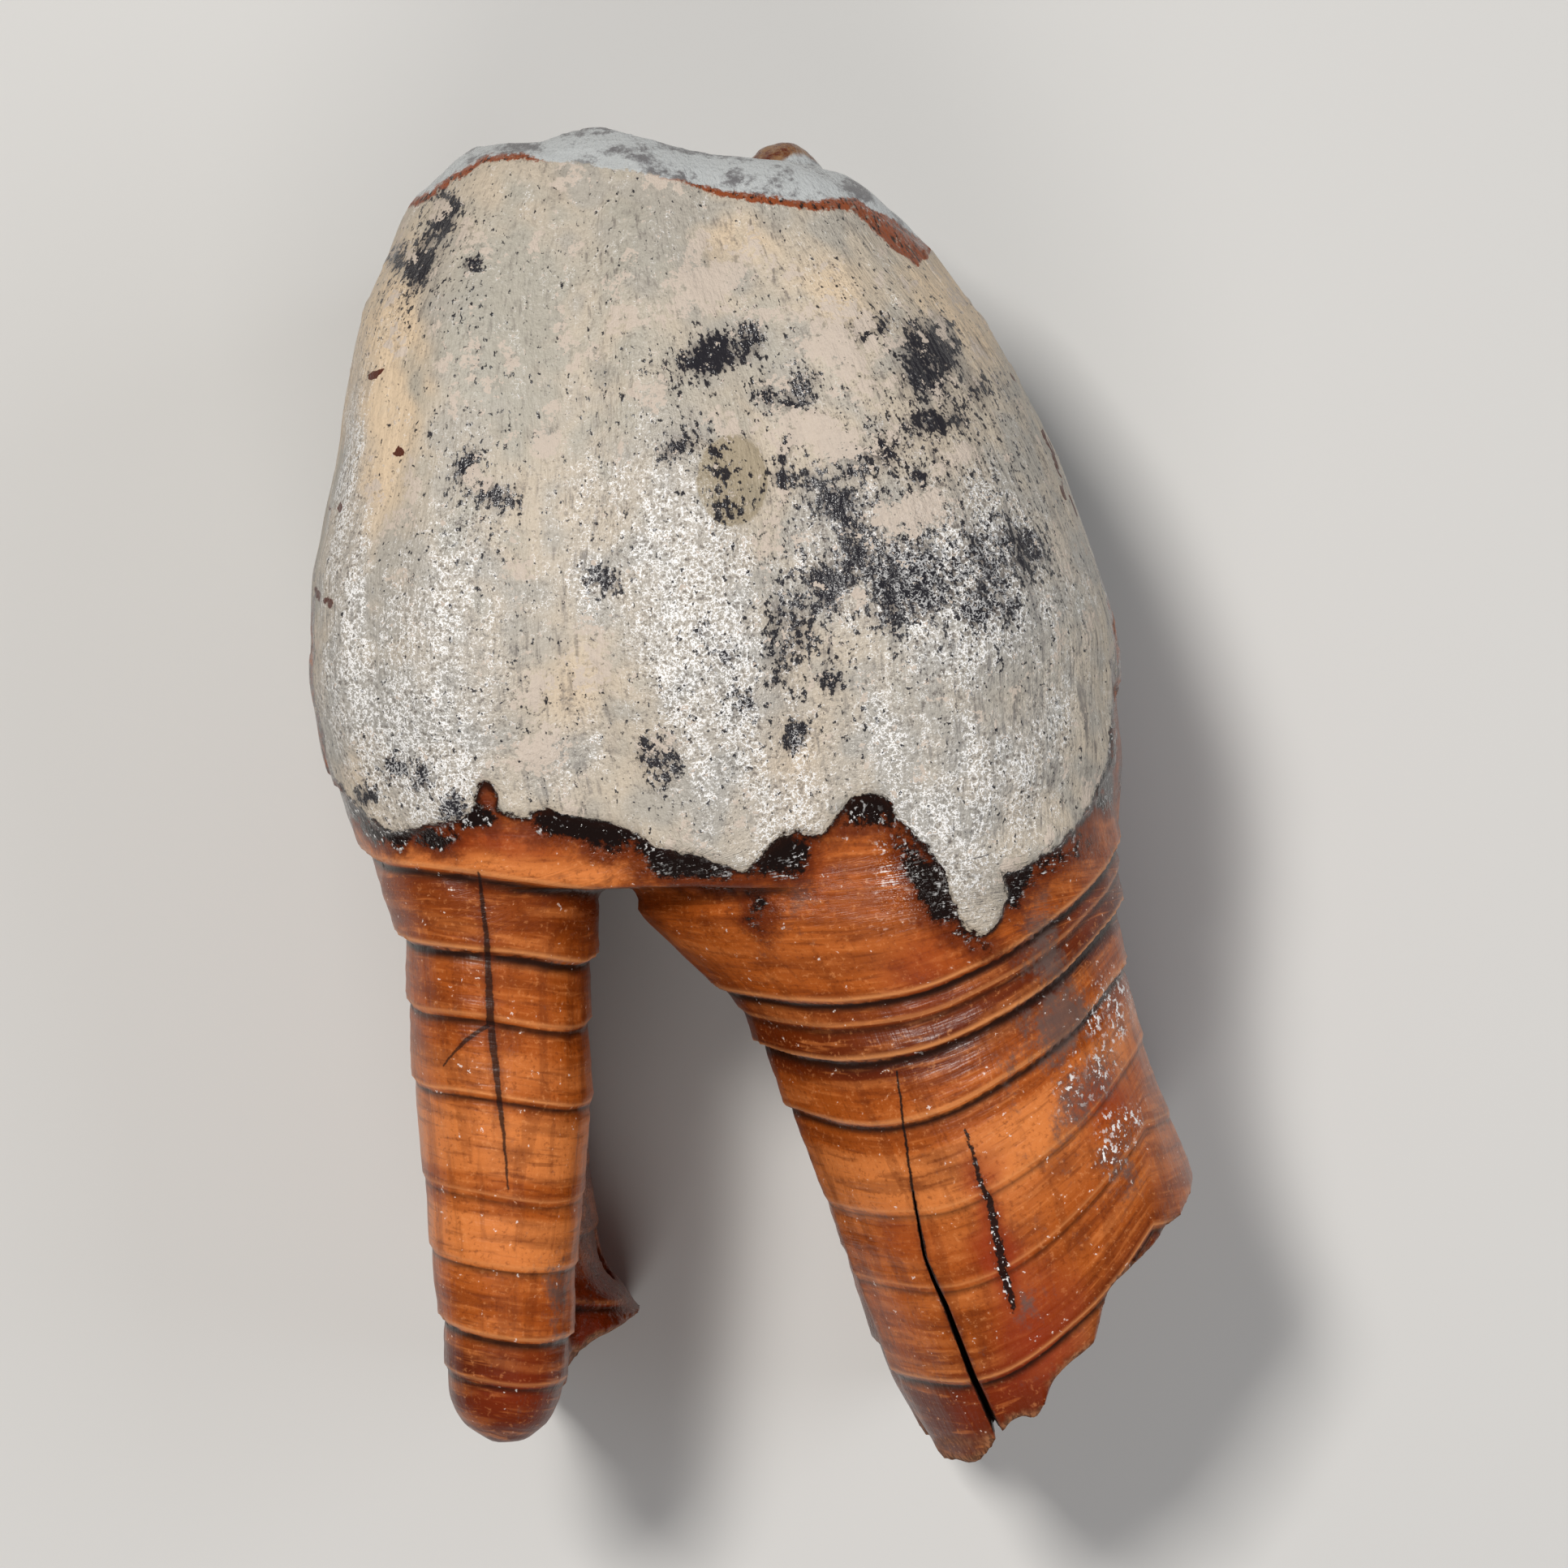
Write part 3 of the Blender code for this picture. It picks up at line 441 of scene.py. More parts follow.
# what shows on the surface, as seen in the photo: (x, y) in millimetres on the sharp plane
marks = {
    # lower edge of the pale crown cover
    "coverEdge": [
        (-40, 17.5), (-27.3, 17), (-27, 13.9), (-27.1, 9.9), (-26.95, 5.9), (-26.5, 3.1), (-25.8, 1.1),
        (-24.8, -0.2), (-23.6, -1.4), (-22.6, -2.2), (-21.4, -2.3), (-19.4, -2), (-18, -1.7),
        (-17.2, -0.6), (-16.8, 0.7), (-16.1, 0.6), (-15.8, -1.1), (-13.9, -1.4), (-13.4, -0.7),
        (-11.9, -1), (-9.4, -1.5), (-7.9, -2), (-6.4, -3), (-4.4, -3.6), (-2.4, -4), (-1.1, -4.7),
        (-0.5, -5), (0.1, -4.3), (1.4, -2.8), (2.8, -2.2), (4.1, -2.6), (5.3, -1.4), (6.1, -0.3),
        (7.8, 0.2), (8.6, -0.3), (9.2, -1.6), (10.6, -3.1), (11.8, -4.8), (12.3, -6.6), (13, -8.1),
        (14.3, -8.6), (15.3, -7.6), (15.7, -6.1), (15, -4.7), (16.6, -4.5), (18.6, -3.3), (20.3, -1.6),
        (21.2, -0.1), (21.7, 1.9), (22, 4.9), (22.2, 8.9), (21.6, 12.9), (20.6, 16.6), (20.4, 18.4),
        (40, 19)],
    # the same edge round the sides and back: (degrees from +X towards +Z, y)
    "coverEdgeRound": [
        (-180, 16), (-150, 9), (-125, 4.5), (-96, 6), (-60, 4), (-25, 11), (0, 17), (25, 18.5),
        (40, 18), (150, 16.5), (180, 16)],
    # rust line under the polished rim: (x, y, half width)
    "rustLine": [
        (-22, 36, 0.16), (-19.9, 36.9, 0.2), (-18.4, 38.1, 0.2), (-16.4, 39.1, 0.16),
        (-14.4, 39.4, 0.12), (-12.4, 39, -0.1), (-6.4, 38.2, -0.1), (-3.9, 37.5, 0.06),
        (-1.4, 37, 0.16), (2.8, 36.3, 0.18), (6.1, 36.4, 0.3), (8.1, 34.9, 0.8), (10.1, 33.5, 0.8),
        (10.8, 33.6, 0.5), (11.6, 36, 0.1), (16, 40, 0.1)],
    # round knob on the cheek wall: (x, y, half width, half height)
    "knob": (-1.3, 19.3, 2.2, 2.8),
    "rimDepthRound": 2.2,
    "rustHalfRound": 0.1,
    # thin cracks: (x, y, half width)
    "leftCrack": [
        (-16.9, -4.8, 0.06), (-16.4, -9.3, 0.15), (-16.2, -14.1, 0.23), (-15.8, -17.6, 0.17),
        (-15.4, -21.1, 0.08), (-15.1, -24.6, 0.02)],
    "rightCrack": [
        (8.85, -17.1, 0.03), (9.35, -21.1, 0.05), (9.85, -24.6, 0.07), (10.6, -28.6, 0.12),
        (11.85, -31.6, 0.16), (13.6, -36.1, 0.2), (15.1, -39.4, 0.25)],
    "branchCrack": [
        (-16.4, -14.3, 0.22), (-17.6, -15.1, 0.18), (-18.4, -15.9, 0.08), (-19.2, -16.9, 0.03)],
    "resinCrack": [
        (13.1, -20.6, 0.03), (13.9, -23.6, 0.1), (14.6, -25.1, 0.2), (15.35, -29.1, 0.25),
        (15.9, -31, 0.18), (16.1, -32.2, 0.05)],
    # how light the root cement is: (growth line, lightness)
    "leftLight": [
        (-39.5, -2.2), (-36, -1.6), (-33.5, -0.4), (-31, 0), (-29.5, 0.1), (-28, 0.8), (-26, 0.9),
        (-25, -0.3), (-24, -0.3), (-22.8, 0.8), (-20.2, 0.9), (-18.6, 0.2), (-16.8, 0.6), (-14.4, -0.4),
        (-12.8, 0.1), (-10.5, -0.5), (-7, -0.4), (-5.6, -0.6), (-4.4, 0.9), (-3.2, 0.3)],
    "rightLight": [
        (-40, -1.2), (-37, -0.7), (-34, -0.2), (-31, -0.1), (-28.5, 0.2), (-26.8, 0.4), (-25, 0.8),
        (-22.6, 0.7), (-21.4, -0.3), (-20.4, 0.2), (-18, -0.3), (-16.8, -1.1), (-14.8, -0.8),
        (-13.2, -0.6), (-11.2, 0.2), (-9.8, 0.3), (-7.6, 0.1), (-5, 0.2)],
}

# stains and patches: (x, y, half length across, half length along, strength), and last the turn
# in degrees where there is one
patches = {
    "black": [
        (-2, 27.3, 0.9, 2.5, 1.25, -54), (0.6, 24.6, 0.5, 1.2, 0.7, 20), (7.1, 28.8, 0.9, 0.9, 1.1),
        (10.6, 27, 1.3, 2, 1.2, 10), (2.6, 24.8, 1, 1.2, 0.7, -30), (-3.9, 21.6, 1.4, 0.8, 0.8, 20),
        (-1.9, 21.4, 0.5, 0.5, 1.1), (-1.6, 19.9, 0.8, 0.4, 1.1, -15), (-1.8, 17.6, 0.6, 0.6, 1.1),
        (1.9, 20.9, 0.6, 0.6, 1.1), (1.8, 19.4, 0.6, 0.5, 1.2), (5.1, 17.2, 0.9, 0.9, 1.1),
        (4.7, 12.6, 0.8, 0.9, 1.3), (9.6, 12.9, 2.3, 2, 1.1), (12.6, 14.6, 2.2, 1, 0.6, 30),
        (2.1, 9.8, 1, 2.2, 0.75), (-3.4, 10.4, 0.35, 0.4, 1.2), (-2.1, 8.5, 0.6, 0.6, 0.9),
        (-0.7, 5.7, 0.8, 0.8, 0.9), (5, 7.4, 0.5, 0.6, 0.9), (10.4, 19.1, 0.5, 0.5, 0.9),
        (10.9, 23.1, 0.7, 0.7, 0.8), (12.7, 23.3, 0.6, 0.6, 0.7), (4.2, 18.8, 0.6, 0.5, 0.8),
        (6.6, 15, 1, 2.6, 0.8, 5), (-17.4, 20.4, 0.5, 0.9, 1.1), (-16.3, 18.4, 1.3, 0.8, 0.9, -15),
        (-9.5, 13.4, 0.6, 0.7, 1), (-18.6, 36.4, 0.7, 0.7, 1), (-19.5, 35.2, 0.6, 0.7, 1),
        (-20.5, 32.9, 0.6, 1.5, 1.1, -20), (-22, 33, 0.6, 0.8, 0.9), (-17, 32.6, 0.4, 0.4, 1.2),
        (14.6, 12.6, 1.6, 2, 0.6), (16.6, 14.9, 1, 0.9, 0.8), (15.8, 11, 0.7, 1.4, 0.6),
        (2.6, 3.7, 0.8, 0.6, 0.8), (-6, 1.6, 0.9, 2, 0.85, -10), (-21.9, 1.7, 0.4, 0.5, 1.2),
        (-20.1, 0.9, 0.6, 0.6, 1.2), (-23.6, 0, 0.9, 0.8, 0.9), (-18.2, -0.8, 0.8, 1.1, 0.9, 20),
        (6.5, 20.4, 3, 0.9, 0.55, 30), (13.8, 24.8, 1.2, 0.8, 0.4)],
    # areas peppered with small specks
    "pepper": [
        (11, 17, 8, 8.5, 1.05), (4, 15, 4, 9, 1), (12, 25.5, 5, 4, 0.6), (14, 5, 7, 5, 0.3),
        (-17.5, 19, 3, 8, 0.55), (-20.5, 32, 2, 4.5, 0.9, -20), (-6, 24, 5, 4, 0.45),
        (-17.4, 29, 0.8, 6, 0.8), (-8, 14, 4, 8, 0.35), (-2, 6, 4, 6, 0.5), (-21, 2, 3, 3, 0.55),
        (-13, 5, 3, 6, 0.4), (-13, 30, 4, 6, 0.15), (6, 31, 5, 3, 0.3), (-1.6, 19.3, 1, 2.3, 1.1)],
    # raised chalky flakes
    "chalk": [
        (-2.9, 31.2, 2.2, 1.3, 1, 15), (5.2, 27.4, 1.3, 2.2, 1, 28), (6.8, 24.6, 0.8, 1, 0.9),
        (3.8, 21.8, 2.6, 1.1, 1.1, -22), (-13.2, 21.7, 0.8, 0.8, 1.1), (-13.7, 6.4, 0.8, 1.3, 0.9),
        (-13.1, 2.9, 1.5, 1.1, 1, 20), (9.9, 17.3, 2.2, 0.9, 1, 12), (-5.4, 38.3, 1.2, 0.7, 1.1),
        (-9.7, 8.4, 1, 1.4, 0.7), (12.6, 20.4, 1.6, 0.7, 0.8, 30), (0.2, 33.2, 0.9, 0.6, 0.7),
        (-10.6, 27.2, 0.9, 0.6, 0.7), (6.4, 12.2, 0.7, 0.6, 0.7)],
    # tones of the pale cover
    "yellow": [
        (-22.6, 24.6, 2.2, 7, 1, -8), (-1.7, 34.4, 3.4, 1.8, 0.7), (12.4, 31.2, 2.2, 4.6, 0.8, 30),
        (-11, 8.5, 3.4, 7, 0.4), (1.5, 2, 3.6, 5, 0.35), (16, -2, 4, 5, 0.4), (5, 31, 3, 3, 0.4),
        (-25, 8, 1.2, 7, 0.5)],
    "blue": [
        (-15, 28.6, 4.6, 6.5, 1, -6), (-7.8, 33, 3.6, 4, 0.6), (0.8, 30.5, 1.6, 5, 0.5),
        (-7, 24, 6, 4, 0.6), (-18, 17, 3, 6, 0.4), (14, 12, 5, 5, 0.5)],
    # where the varnish is glossy: smoother, and with painted glints
    "gloss": [
        (-24.9, 15, 0.9, 10.5, 1.3, -4), (-19.8, 5.2, 3.2, 6.6, 1), (-4.2, 13.5, 3, 9, 1.1, 8),
        (-1, 6, 3, 6, 0.7), (12.5, 13, 6, 7, 0.8), (-8, 19.5, 4, 3, 0.6), (1.5, -1, 3, 2.5, 0.6),
        (14.5, 3, 4, 4, 0.5), (10, -3.4, 2.4, 4.6, 1, -25), (21, -15.4, 1.5, 4, 1.2, -22),
        (22.4, -21, 1.2, 2.4, 1, -28)],
    # brown spots of resin
    "resin": [
        (-23.5, 26.1, 0.55, 0.3, 1.3), (-25.7, 17.3, 0.45, 0.25, 1.1), (15.9, 26.4, 0.45, 1.5, 1.1, 25),
        (18.3, 21.6, 0.5, 2.2, 1.2, 18), (19.7, 18, 0.5, 1.4, 1.2, 15), (8.6, 34.6, 1.5, 0.8, 1.2, -38),
        (-22.1, 20.6, 0.3, 0.3, 1), (-19.7, 21.2, 0.3, 0.25, 0.9), (-26.6, 12, 0.5, 0.5, 1)],
    # nearly black brown under the cover's edge
    "umber": [
        (-22.5, -2, 1.6, 1, 1, -30), (-19.5, -2.7, 1.6, 0.7, 1), (-17, -1.2, 1.2, 1.2, 0.9),
        (-10.6, -2.4, 2.8, 1.3, 1.3, -8), (-4.5, -4.2, 3.4, 1.3, 1.3, -18), (1.6, -3.8, 1.9, 1.9, 1.1),
        (0.4, -7.7, 1.5, 1.3, 1.15, -30), (3.2, -6, 3, 2.2, 0.62), (9.6, -7, 2, 2.6, 0.55, 20),
        (7.4, -0.6, 1.6, 1.6, 1.2), (10.6, -5.6, 1.3, 2.9, 1.2, 25), (12.6, -9, 1.6, 0.9, 0.6),
        (16.3, -5.4, 1.3, 1.2, 1.2), (18.4, -4.6, 2.4, 1.1, 0.6, 35), (14.2, -9.4, 2, 0.9, 0.6),
        (-24.8, -0.8, 1.2, 1.6, 0.9, 35), (20.6, -3.6, 2.2, 1.4, 0.7, 40), (21.9, 1.5, 0.7, 2.6, 0.9)],
    # tones of the roots
    "grey": [
        (18, -9.4, 1.2, 3.2, 1, 10), (18.6, -14, 1.7, 2.4, 1.1, -20), (20.4, -18, 1.4, 2.6, 0.9, -25),
        (17.2, -31.2, 0.8, 1, 1.1), (22.4, -22.4, 1.5, 2.6, 0.6, -20), (-11.9, -31, 0.6, 2.4, 0.9),
        (15.6, -17.6, 0.9, 2, 0.5), (3, -6.2, 1.2, 1.4, 0.8)],
    "red": [
        (20.8, -18.6, 2.6, 3, 0.6), (14.8, -27, 1.2, 5, 0.8, 12), (-15.8, -37, 4, 2, 0.25),
        (18, -36, 5, 5, 0.7), (24, -27, 3, 3, 0.5), (4.5, -5.5, 3, 2.4, 0.6), (-16, -3.2, 5, 0.9, 0.5)],
}

# the same kinds on the sides that the photo does not show: (size, seed, strength, base)
hiddenPatches = {
    "black": (6, 31, 1.5, 0), "yellow": (8, 32, 1, 0.2), "blue": (9, 33, 1, 0.1), "chalk": (3, 34, 2, -0.4),
    "pepper": (7, 38, 1, 0.4), "grey": (5, 35, 1.6, -0.2), "red": (7, 36, 1, 0.2),
}
hiddenGloss = 0.4
hiddenUmber = 0.8


def seenFromCamera(points):
    # where each point shows on the camera's sharp plane
    reach = (camera["height"] - camera["sharpPlane"]) / (camera["height"] - points[:, 2])
    seenX = camera["x"] + (points[:, 0] - camera["x"]) * reach
    return seenX, camera["y"] + (points[:, 1] - camera["y"]) * reach


def lineDistance(x, y, line):
    gaps = [segmentDistance(x, y, start, end) for start, end in zip(line, line[1:])]
    return np.min(gaps, axis=0)


def insideOf(x, y, outline):
    crossed = np.zeros(len(x), bool)
    for (ax, ay), (bx, by) in zip(outline, outline[1:] + outline[:1]):
        spans = (ay > y) != (by > y)
        crossed ^= spans & (x < ax + (y - ay) * (bx - ax) / (by - ay if by != ay else 1))
    return crossed


def patchField(x, y, spots):
    # strongest of the patches at each point: 1 or more in the middle, 0 well outside
    field = np.zeros(len(x))
    for px, py, across, along, strength, *turn in spots:
        angle = math.radians(turn[0]) if turn else 0
        cos, sin = math.cos(angle), math.sin(angle)
        u = ((x - px) * cos + (y - py) * sin) / across
        v = ((y - py) * cos - (x - px) * sin) / along
        field = np.maximum(field, strength * np.exp(-0.7 * (u * u + v * v)))
    return field


def angleRound(points):
    middle = (through(points[:, 1], tooth["crownLeft"]) + through(points[:, 1], tooth["crownRight"])) / 2
    return np.arctan2(points[:, 2] - tooth["crownAxisZ"], points[:, 0] - middle)


def growthLines(points):
    # the growth line through each point, for the left and the right root, and the share of the right
    x, y, z = points.T
    left = y + 0.14 * (x + 15.5) - 1.2 * (1 - np.exp(-np.clip(37 - z, 0, None) / 9))
    below = np.clip(-16 - y, 0, None)
    off = np.clip(x - 4.5 - 0.29 * below, 0, None)
    right = y - np.clip((0.027 + 0.0008 * below) * off ** 2, 0, 10)
    right = right - 1.4 * (1 - np.exp(-np.clip(38 - z, 0, None) / 9))
    return left, right, ease(x, -9.2, -7.4)


def ledgeRelief(line, ledges):
    relief = np.zeros_like(line)
    for at, depth in ledges:
        t = line - at
        lip = 0.35 * np.exp(-np.clip(t - 0.2, 0, None) / 0.9)
        step = -0.65 * np.exp(np.clip(t + 0.25, None, 0) / 1.4)
        relief = relief + depth * (step + (lip - step) * ease(t, -0.25, 0.2))
    return relief


def surfaceMarks(points):
    # every field that the relief and the finish are made from
    seenX, seenY = seenFromCamera(points)
    x, y, z = points.T
    front = ease(z, 15, 25)
    angle = angleRound(points)
    ragged = 0.35 * lumps(points, 2.4, 21) + 0.22 * lumps(points, 0.9, 22)

    edge = marks["coverEdge"]
    cover = lineDistance(seenX, seenY, edge)
    cover = np.where(insideOf(seenX, seenY, edge + [(40, 80), (-40, 80)]), cover, -cover)
    coverRound = y - through(np.degrees(angle), marks["coverEdgeRound"]) + 2.5 * lumps(points, 6, 23)
    cover = front * np.clip(cover, -6, 6) + (1 - front) * np.clip(coverRound, -6, 6) + ragged

    rustX, rustY, rustHalf = np.array(marks["rustLine"]).T
    rust = seenY - np.interp(seenX, rustX, rustY)
    rustRound = y - (rimHeight(angle) - marks["rimDepthRound"])
    rust = front * rust + (1 - front) * rustRound + 0.35 * ragged
    rustWide = front * np.interp(seenX, rustX, rustHalf) + (1 - front) * marks["rustHalfRound"]

    left, right, belongs = growthLines(points)
    fields = {"cover": cover, "rust": rust, "rustWide": rustWide, "left": left, "right": right,
              "belongs": belongs}
    warpX = 0.9 * lumps(points, 2.8, 51) + 0.4 * lumps(points, 1.1, 52)
    warpY = 0.9 * lumps(points, 2.8, 53) + 0.4 * lumps(points, 1.1, 54)
    for name, spots in patches.items():
        fields[name] = patchField(seenX + warpX, seenY + warpY, spots) * front
    knobX, knobY, wide, high = marks["knob"]
    fields["knob"] = (1 - np.hypot((seenX - knobX) / wide, (seenY - knobY) / high)) * wide * front
    # on the right side the brown shows only in small flecks
    flecks = ease(lumps(points, 1.5, 50), 0.02, 0.3) * ease(z, 19, 27)
    fields["resin"] = fields["resin"] * np.where((x > 12) & (y < 30), flecks, 1)
    # the lower half of the cheek wall is glossier, with more painted glints
    lower = ease(22 - y, 0, 9) * ease(fields["cover"], -0.2, 0.3)
    fields["gloss"] = fields["gloss"] + 0.35 * lower * (1 + 1.6 * lumps(points, 5, 49))
    # small chalky flakes lie between the large ones
    flakes = ease(lumps(points, (1.5, 2, 1.5), 55), 0.10, 0.45)
    fields["chalk"] = np.maximum(fields["chalk"], 0.55 * flakes * front * ease(1.1 - fields["gloss"], 0, 0.8))
    # the larger stains are broken up into blots
    fields["black"] = fields["black"] * (0.9 + 0.7 * lumps(points, 1.7, 37))
    hidden = 1 - front
    for name, (size, seed, strength, base) in hiddenPatches.items():
        fields[name] = fields[name] + hidden * np.clip(lumps(points, size, seed) * strength + base, 0, 1)
    fields["gloss"] = fields["gloss"] + hidden * hiddenGloss
    fields["umber"] = fields["umber"] + hidden * hiddenUmber
    for name in ("leftCrack", "branchCrack", "rightCrack", "resinCrack"):
        lineX, lineY, half = np.array(marks[name])[::-1].T
        fields[name] = seenX - np.interp(seenY, lineY, lineX)
        inRange = (seenY > lineY[0]) & (seenY < lineY[-1]) & (z > 24)
        fields[name + "Half"] = np.where(inRange, np.interp(seenY, lineY, half), -0.3)
    return fields


def grainPlaces(points, fields):
    # (across, along, deep): the same upright streak keeps its 'across' from top to bottom
    x, y, z = points.T
    left, right = through(y, tooth["crownLeft"]), through(y, tooth["crownRight"])
    onCrown = (2 * x - left - right) / (right - left) * 24
    roots = []
    for levels, wide in (("frontLeftRoot", 6.0), ("rightRoot", 13.0)):
        table = np.array(tooth[levels], float)[::-1]
        rootLeft, rootRight = through(y, table[:, (0, 1)]), through(y, table[:, (0, 2)])
        roots.append((2 * x - rootLeft - rootRight) / (rootRight - rootLeft) * wide)
    belongs = fields["belongs"]
    onRoot = (1 - belongs) * roots[0] + belongs * (roots[1] + 40)
    line = (1 - belongs) * fields["left"] + belongs * fields["right"]
    share = ease(y, -9, -3)
    return np.column_stack([share * onCrown + (1 - share) * onRoot, share * y + (1 - share) * line, z])


def readMesh(made):
    mesh = made.data
    count = len(mesh.vertices)
    points, normals = np.empty(count * 3), np.empty(count * 3)
    mesh.vertices.foreach_get("co", points)
    mesh.vertex_normals.foreach_get("vector", normals)
    return points.reshape(-1, 3) / mm, normals.reshape(-1, 3)


def writePoints(made, points):
    made.data.vertices.foreach_set("co", (points * mm).ravel())
    made.data.update()


def hollowness(made, points, normals, rounds):
    # how far each point lies below the average of its surroundings, along its normal
    edges = np.empty(len(made.data.edges) * 2, int)
    made.data.edges.foreach_get("vertices", edges)
    a, b = edges.reshape(-1, 2).T
    count = len(points)
    near = np.bincount(a, minlength=count) + np.bincount(b, minlength=count)
    smooth = points.copy()
    for step in range(rounds):
        total = np.stack([np.bincount(a, smooth[b, k], count) + np.bincount(b, smooth[a, k], count)
                          for k in range(3)], axis=1)
        smooth = total / near[:, None]
    return ((smooth - points) * normals).sum(axis=1)


# relief of the skin: (height, size of its lumps or (across, along, deep), seed)
relief = {
    "swellings": (0.22, 7, 1), "dents": (0.09, (2.2, 3.5, 2.2), 2),
    "streaks": (0.09, (1.3, 9, 1.3), 3), "scratches": (0.05, (0.8, 4, 0.8), 4),
    "rings": (0.05, (9, 0.7, 9), 7), "furrows": (0.03, (1.2, 8, 1.2), 8), "wander": (0.25, 6, 5),
    "pitDepth": 0.12, "flakeHeight": 0.10, "knobHeight": 0.22, "rimWear": 0.16,
}


def bumps(points, name):
    height, size, seed = relief[name]
    return height * lumps(points, size, seed)


def sculpt(made):
    # moves the skin along its normals: ledges, the cover's edge, streaks, lumps and pits
    points, normals = readMesh(made)
    fields = surfaceMarks(points)
    grain = grainPlaces(points, fields)
    wander = bumps(points, "wander")
    left = ledgeRelief(fields["left"] + wander, tooth["leftLedges"])
    right = ledgeRelief(fields["right"] + wander, tooth["rightLedges"])
    onRoot = ease(-fields["cover"], 0.3, 1.4)
    onCrown = ease(fields["cover"], -0.12, 0.22)
    sideways = 1 - np.abs(normals[:, 1]) ** 3
    move = (left + (right - left) * fields["belongs"]) * onRoot * sideways
    move = move + tooth["coverThickness"] * onCrown * ease(45 - points[:, 1], 0, 8)
    move = move + bumps(points, "swellings") + bumps(points, "dents")
    pits = np.clip(lumps(points, 0.9, 6) - 0.25, 0, None)
    streaks = bumps(grain, "streaks") + bumps(grain, "scratches") - relief["pitDepth"] * pits
    move = move + onCrown * sideways * streaks
    move = move + (1 - onCrown) * sideways * (bumps(grain, "rings") + bumps(grain, "furrows"))
    flaky = ease(fields["chalk"] + 0.3 * lumps(points, 1.2, 24), 0.45, 0.65)
    move = move + relief["flakeHeight"] * onCrown * flaky
    move = move + relief["knobHeight"] * onCrown * ease(fields["knob"], -0.1, 0.35)
    # the polished rim is worn back a little above the rust line
    move = move - relief["rimWear"] * ease(fields["rust"], -0.2, 0.25) * ease(points[:, 2], 24, 32)
    points = points + normals * move[:, None]
    rest = tooth["restBand"]
    points[:, 2] = np.where(points[:, 2] < rest, 0, points[:, 2] - rest)
    writePoints(made, points)


# what the finished mesh keeps for its finish
kept = [
    "cover", "rust", "rustWide", "left", "right", "belongs", "black", "chalk", "resin", "yellow",
    "blue", "gloss", "grey", "red", "upright", "leftCrack", "leftCrackHalf", "biting", "rightCrack",
    "rightCrackHalf", "dentine", "resinCrack", "resinCrackHalf", "broken", "branchCrack",
    "branchCrackHalf", "umber", "pepper", "coarse", "striped", "cloud", "patch", "streak", "broad",
    "narrow", "knob", "hollowShade", "glintFleck"]


def keepVectors(made, name, vectors):
    layer = made.data.attributes.new(name, "FLOAT_VECTOR", "POINT")
    layer.data.foreach_set("vector", vectors.astype(np.float32).ravel())


def paintFields(made):
    # keeps the fields on the finished mesh, three to a layer
    points, normals = readMesh(made)
    points[:, 2] += tooth["restBand"] * (points[:, 2] > 0)
    fields = surfaceMarks(points)
    grain = grainPlaces(points, fields)
    x, y, z = points.T
    wall, axisX = crownRadius(angleRound(points), y)
    centre = tooth["basinCentre"]
    angle = np.arctan2(z - centre[1], x - centre[0])
    radius = crownRadius(angle, np.full(len(x), 36.0))[0]
    inside = radius - np.hypot(x - centre[0], z - centre[1]) - 1
    rightTop = np.interp(x, *np.array(tooth["rightBreak"]).T) + tooth["breakRise"]["right"] * (36 - z)
    breakTop = np.where(x > 0, rightTop, np.interp(x, *np.array(tooth["leftBreak"]).T))
    broken = ease(-normals[:, 1], 0.3, 0.6) * ease(breakTop + 2.4 - y, 0, 1)
    light = through(fields["left"], marks["leftLight"]) * (1 - fields["belongs"])
    light = light + through(fields["right"], marks["rightLight"]) * fields["belongs"]
    # how grainy the cover is, and how finely striped
    coarse = 0.35 + 0.5 * fields["gloss"] + 0.5 * fields["pepper"] - 0.35 * fields["blue"]
    striped = 0.4 + lumps(grain, (7, 14, 7), 40) + ease(x, 4, 14) * ease(14 - y, 0, 8)
    wander = bumps(points, "wander")
    fields.update({
        "left": fields["left"] + wander, "right": fields["right"] + wander,
        # how hollow each point is, for the painted shade in hollows
        "hollowShade": hollowness(made, points, normals, 3),
        "biting": ease(wall - np.hypot(x - axisX, z - tooth["crownAxisZ"]), 1.3, 2.3) * ease(y, 24, 28),
        "dentine": dentineShare(inside, bitingGaps(x, z)),
        "broken": np.where((x < 0) & (z > 24), 0, broken),
        "coarse": np.clip(coarse + 0.5 * lumps(points, 5, 39), 0.1, 1),
        "striped": np.clip(striped, 0.1, 1),
        "cloud": lumps(points, 6.5, 41), "patch": lumps(points, 1.9, 42),
        "streak": lumps(grain, (1.3, 10, 1.3), 43), "upright": lumps(grain, (0.9, 14, 0.9), 47),
        "broad": light + 0.3 * lumps(grain, (16, 2.6, 16), 44), "narrow": lumps(grain, (8, 0.9, 8), 45),
        # where the small painted glint flecks fall
        "glintFleck": lumps(points, 0.8, 48),
    })
    keepVectors(made, "grain", grain)
    keepVectors(made, "place", points)
    for k in range(0, len(kept), 3):
        three = np.zeros_like(points)
        for column, name in enumerate(kept[k:k + 3]):
            three[:, column] = fields[name]
        keepVectors(made, f"kept{k // 3}", three)


def thinHidden(made):
    # fewer faces on the side that the tooth lies on
    points, normals = readMesh(made)
    group = made.vertex_groups.new(name="hidden")
    group.add(np.flatnonzero(points[:, 2] < tooth["hiddenBelow"]).tolist(), 1.0, "REPLACE")
    modifier = made.modifiers.new("thin", "DECIMATE")
    modifier.ratio = tooth["facesKept"]
    modifier.vertex_group = group.name
    applyModifiers(made)
    made.vertex_groups.clear()


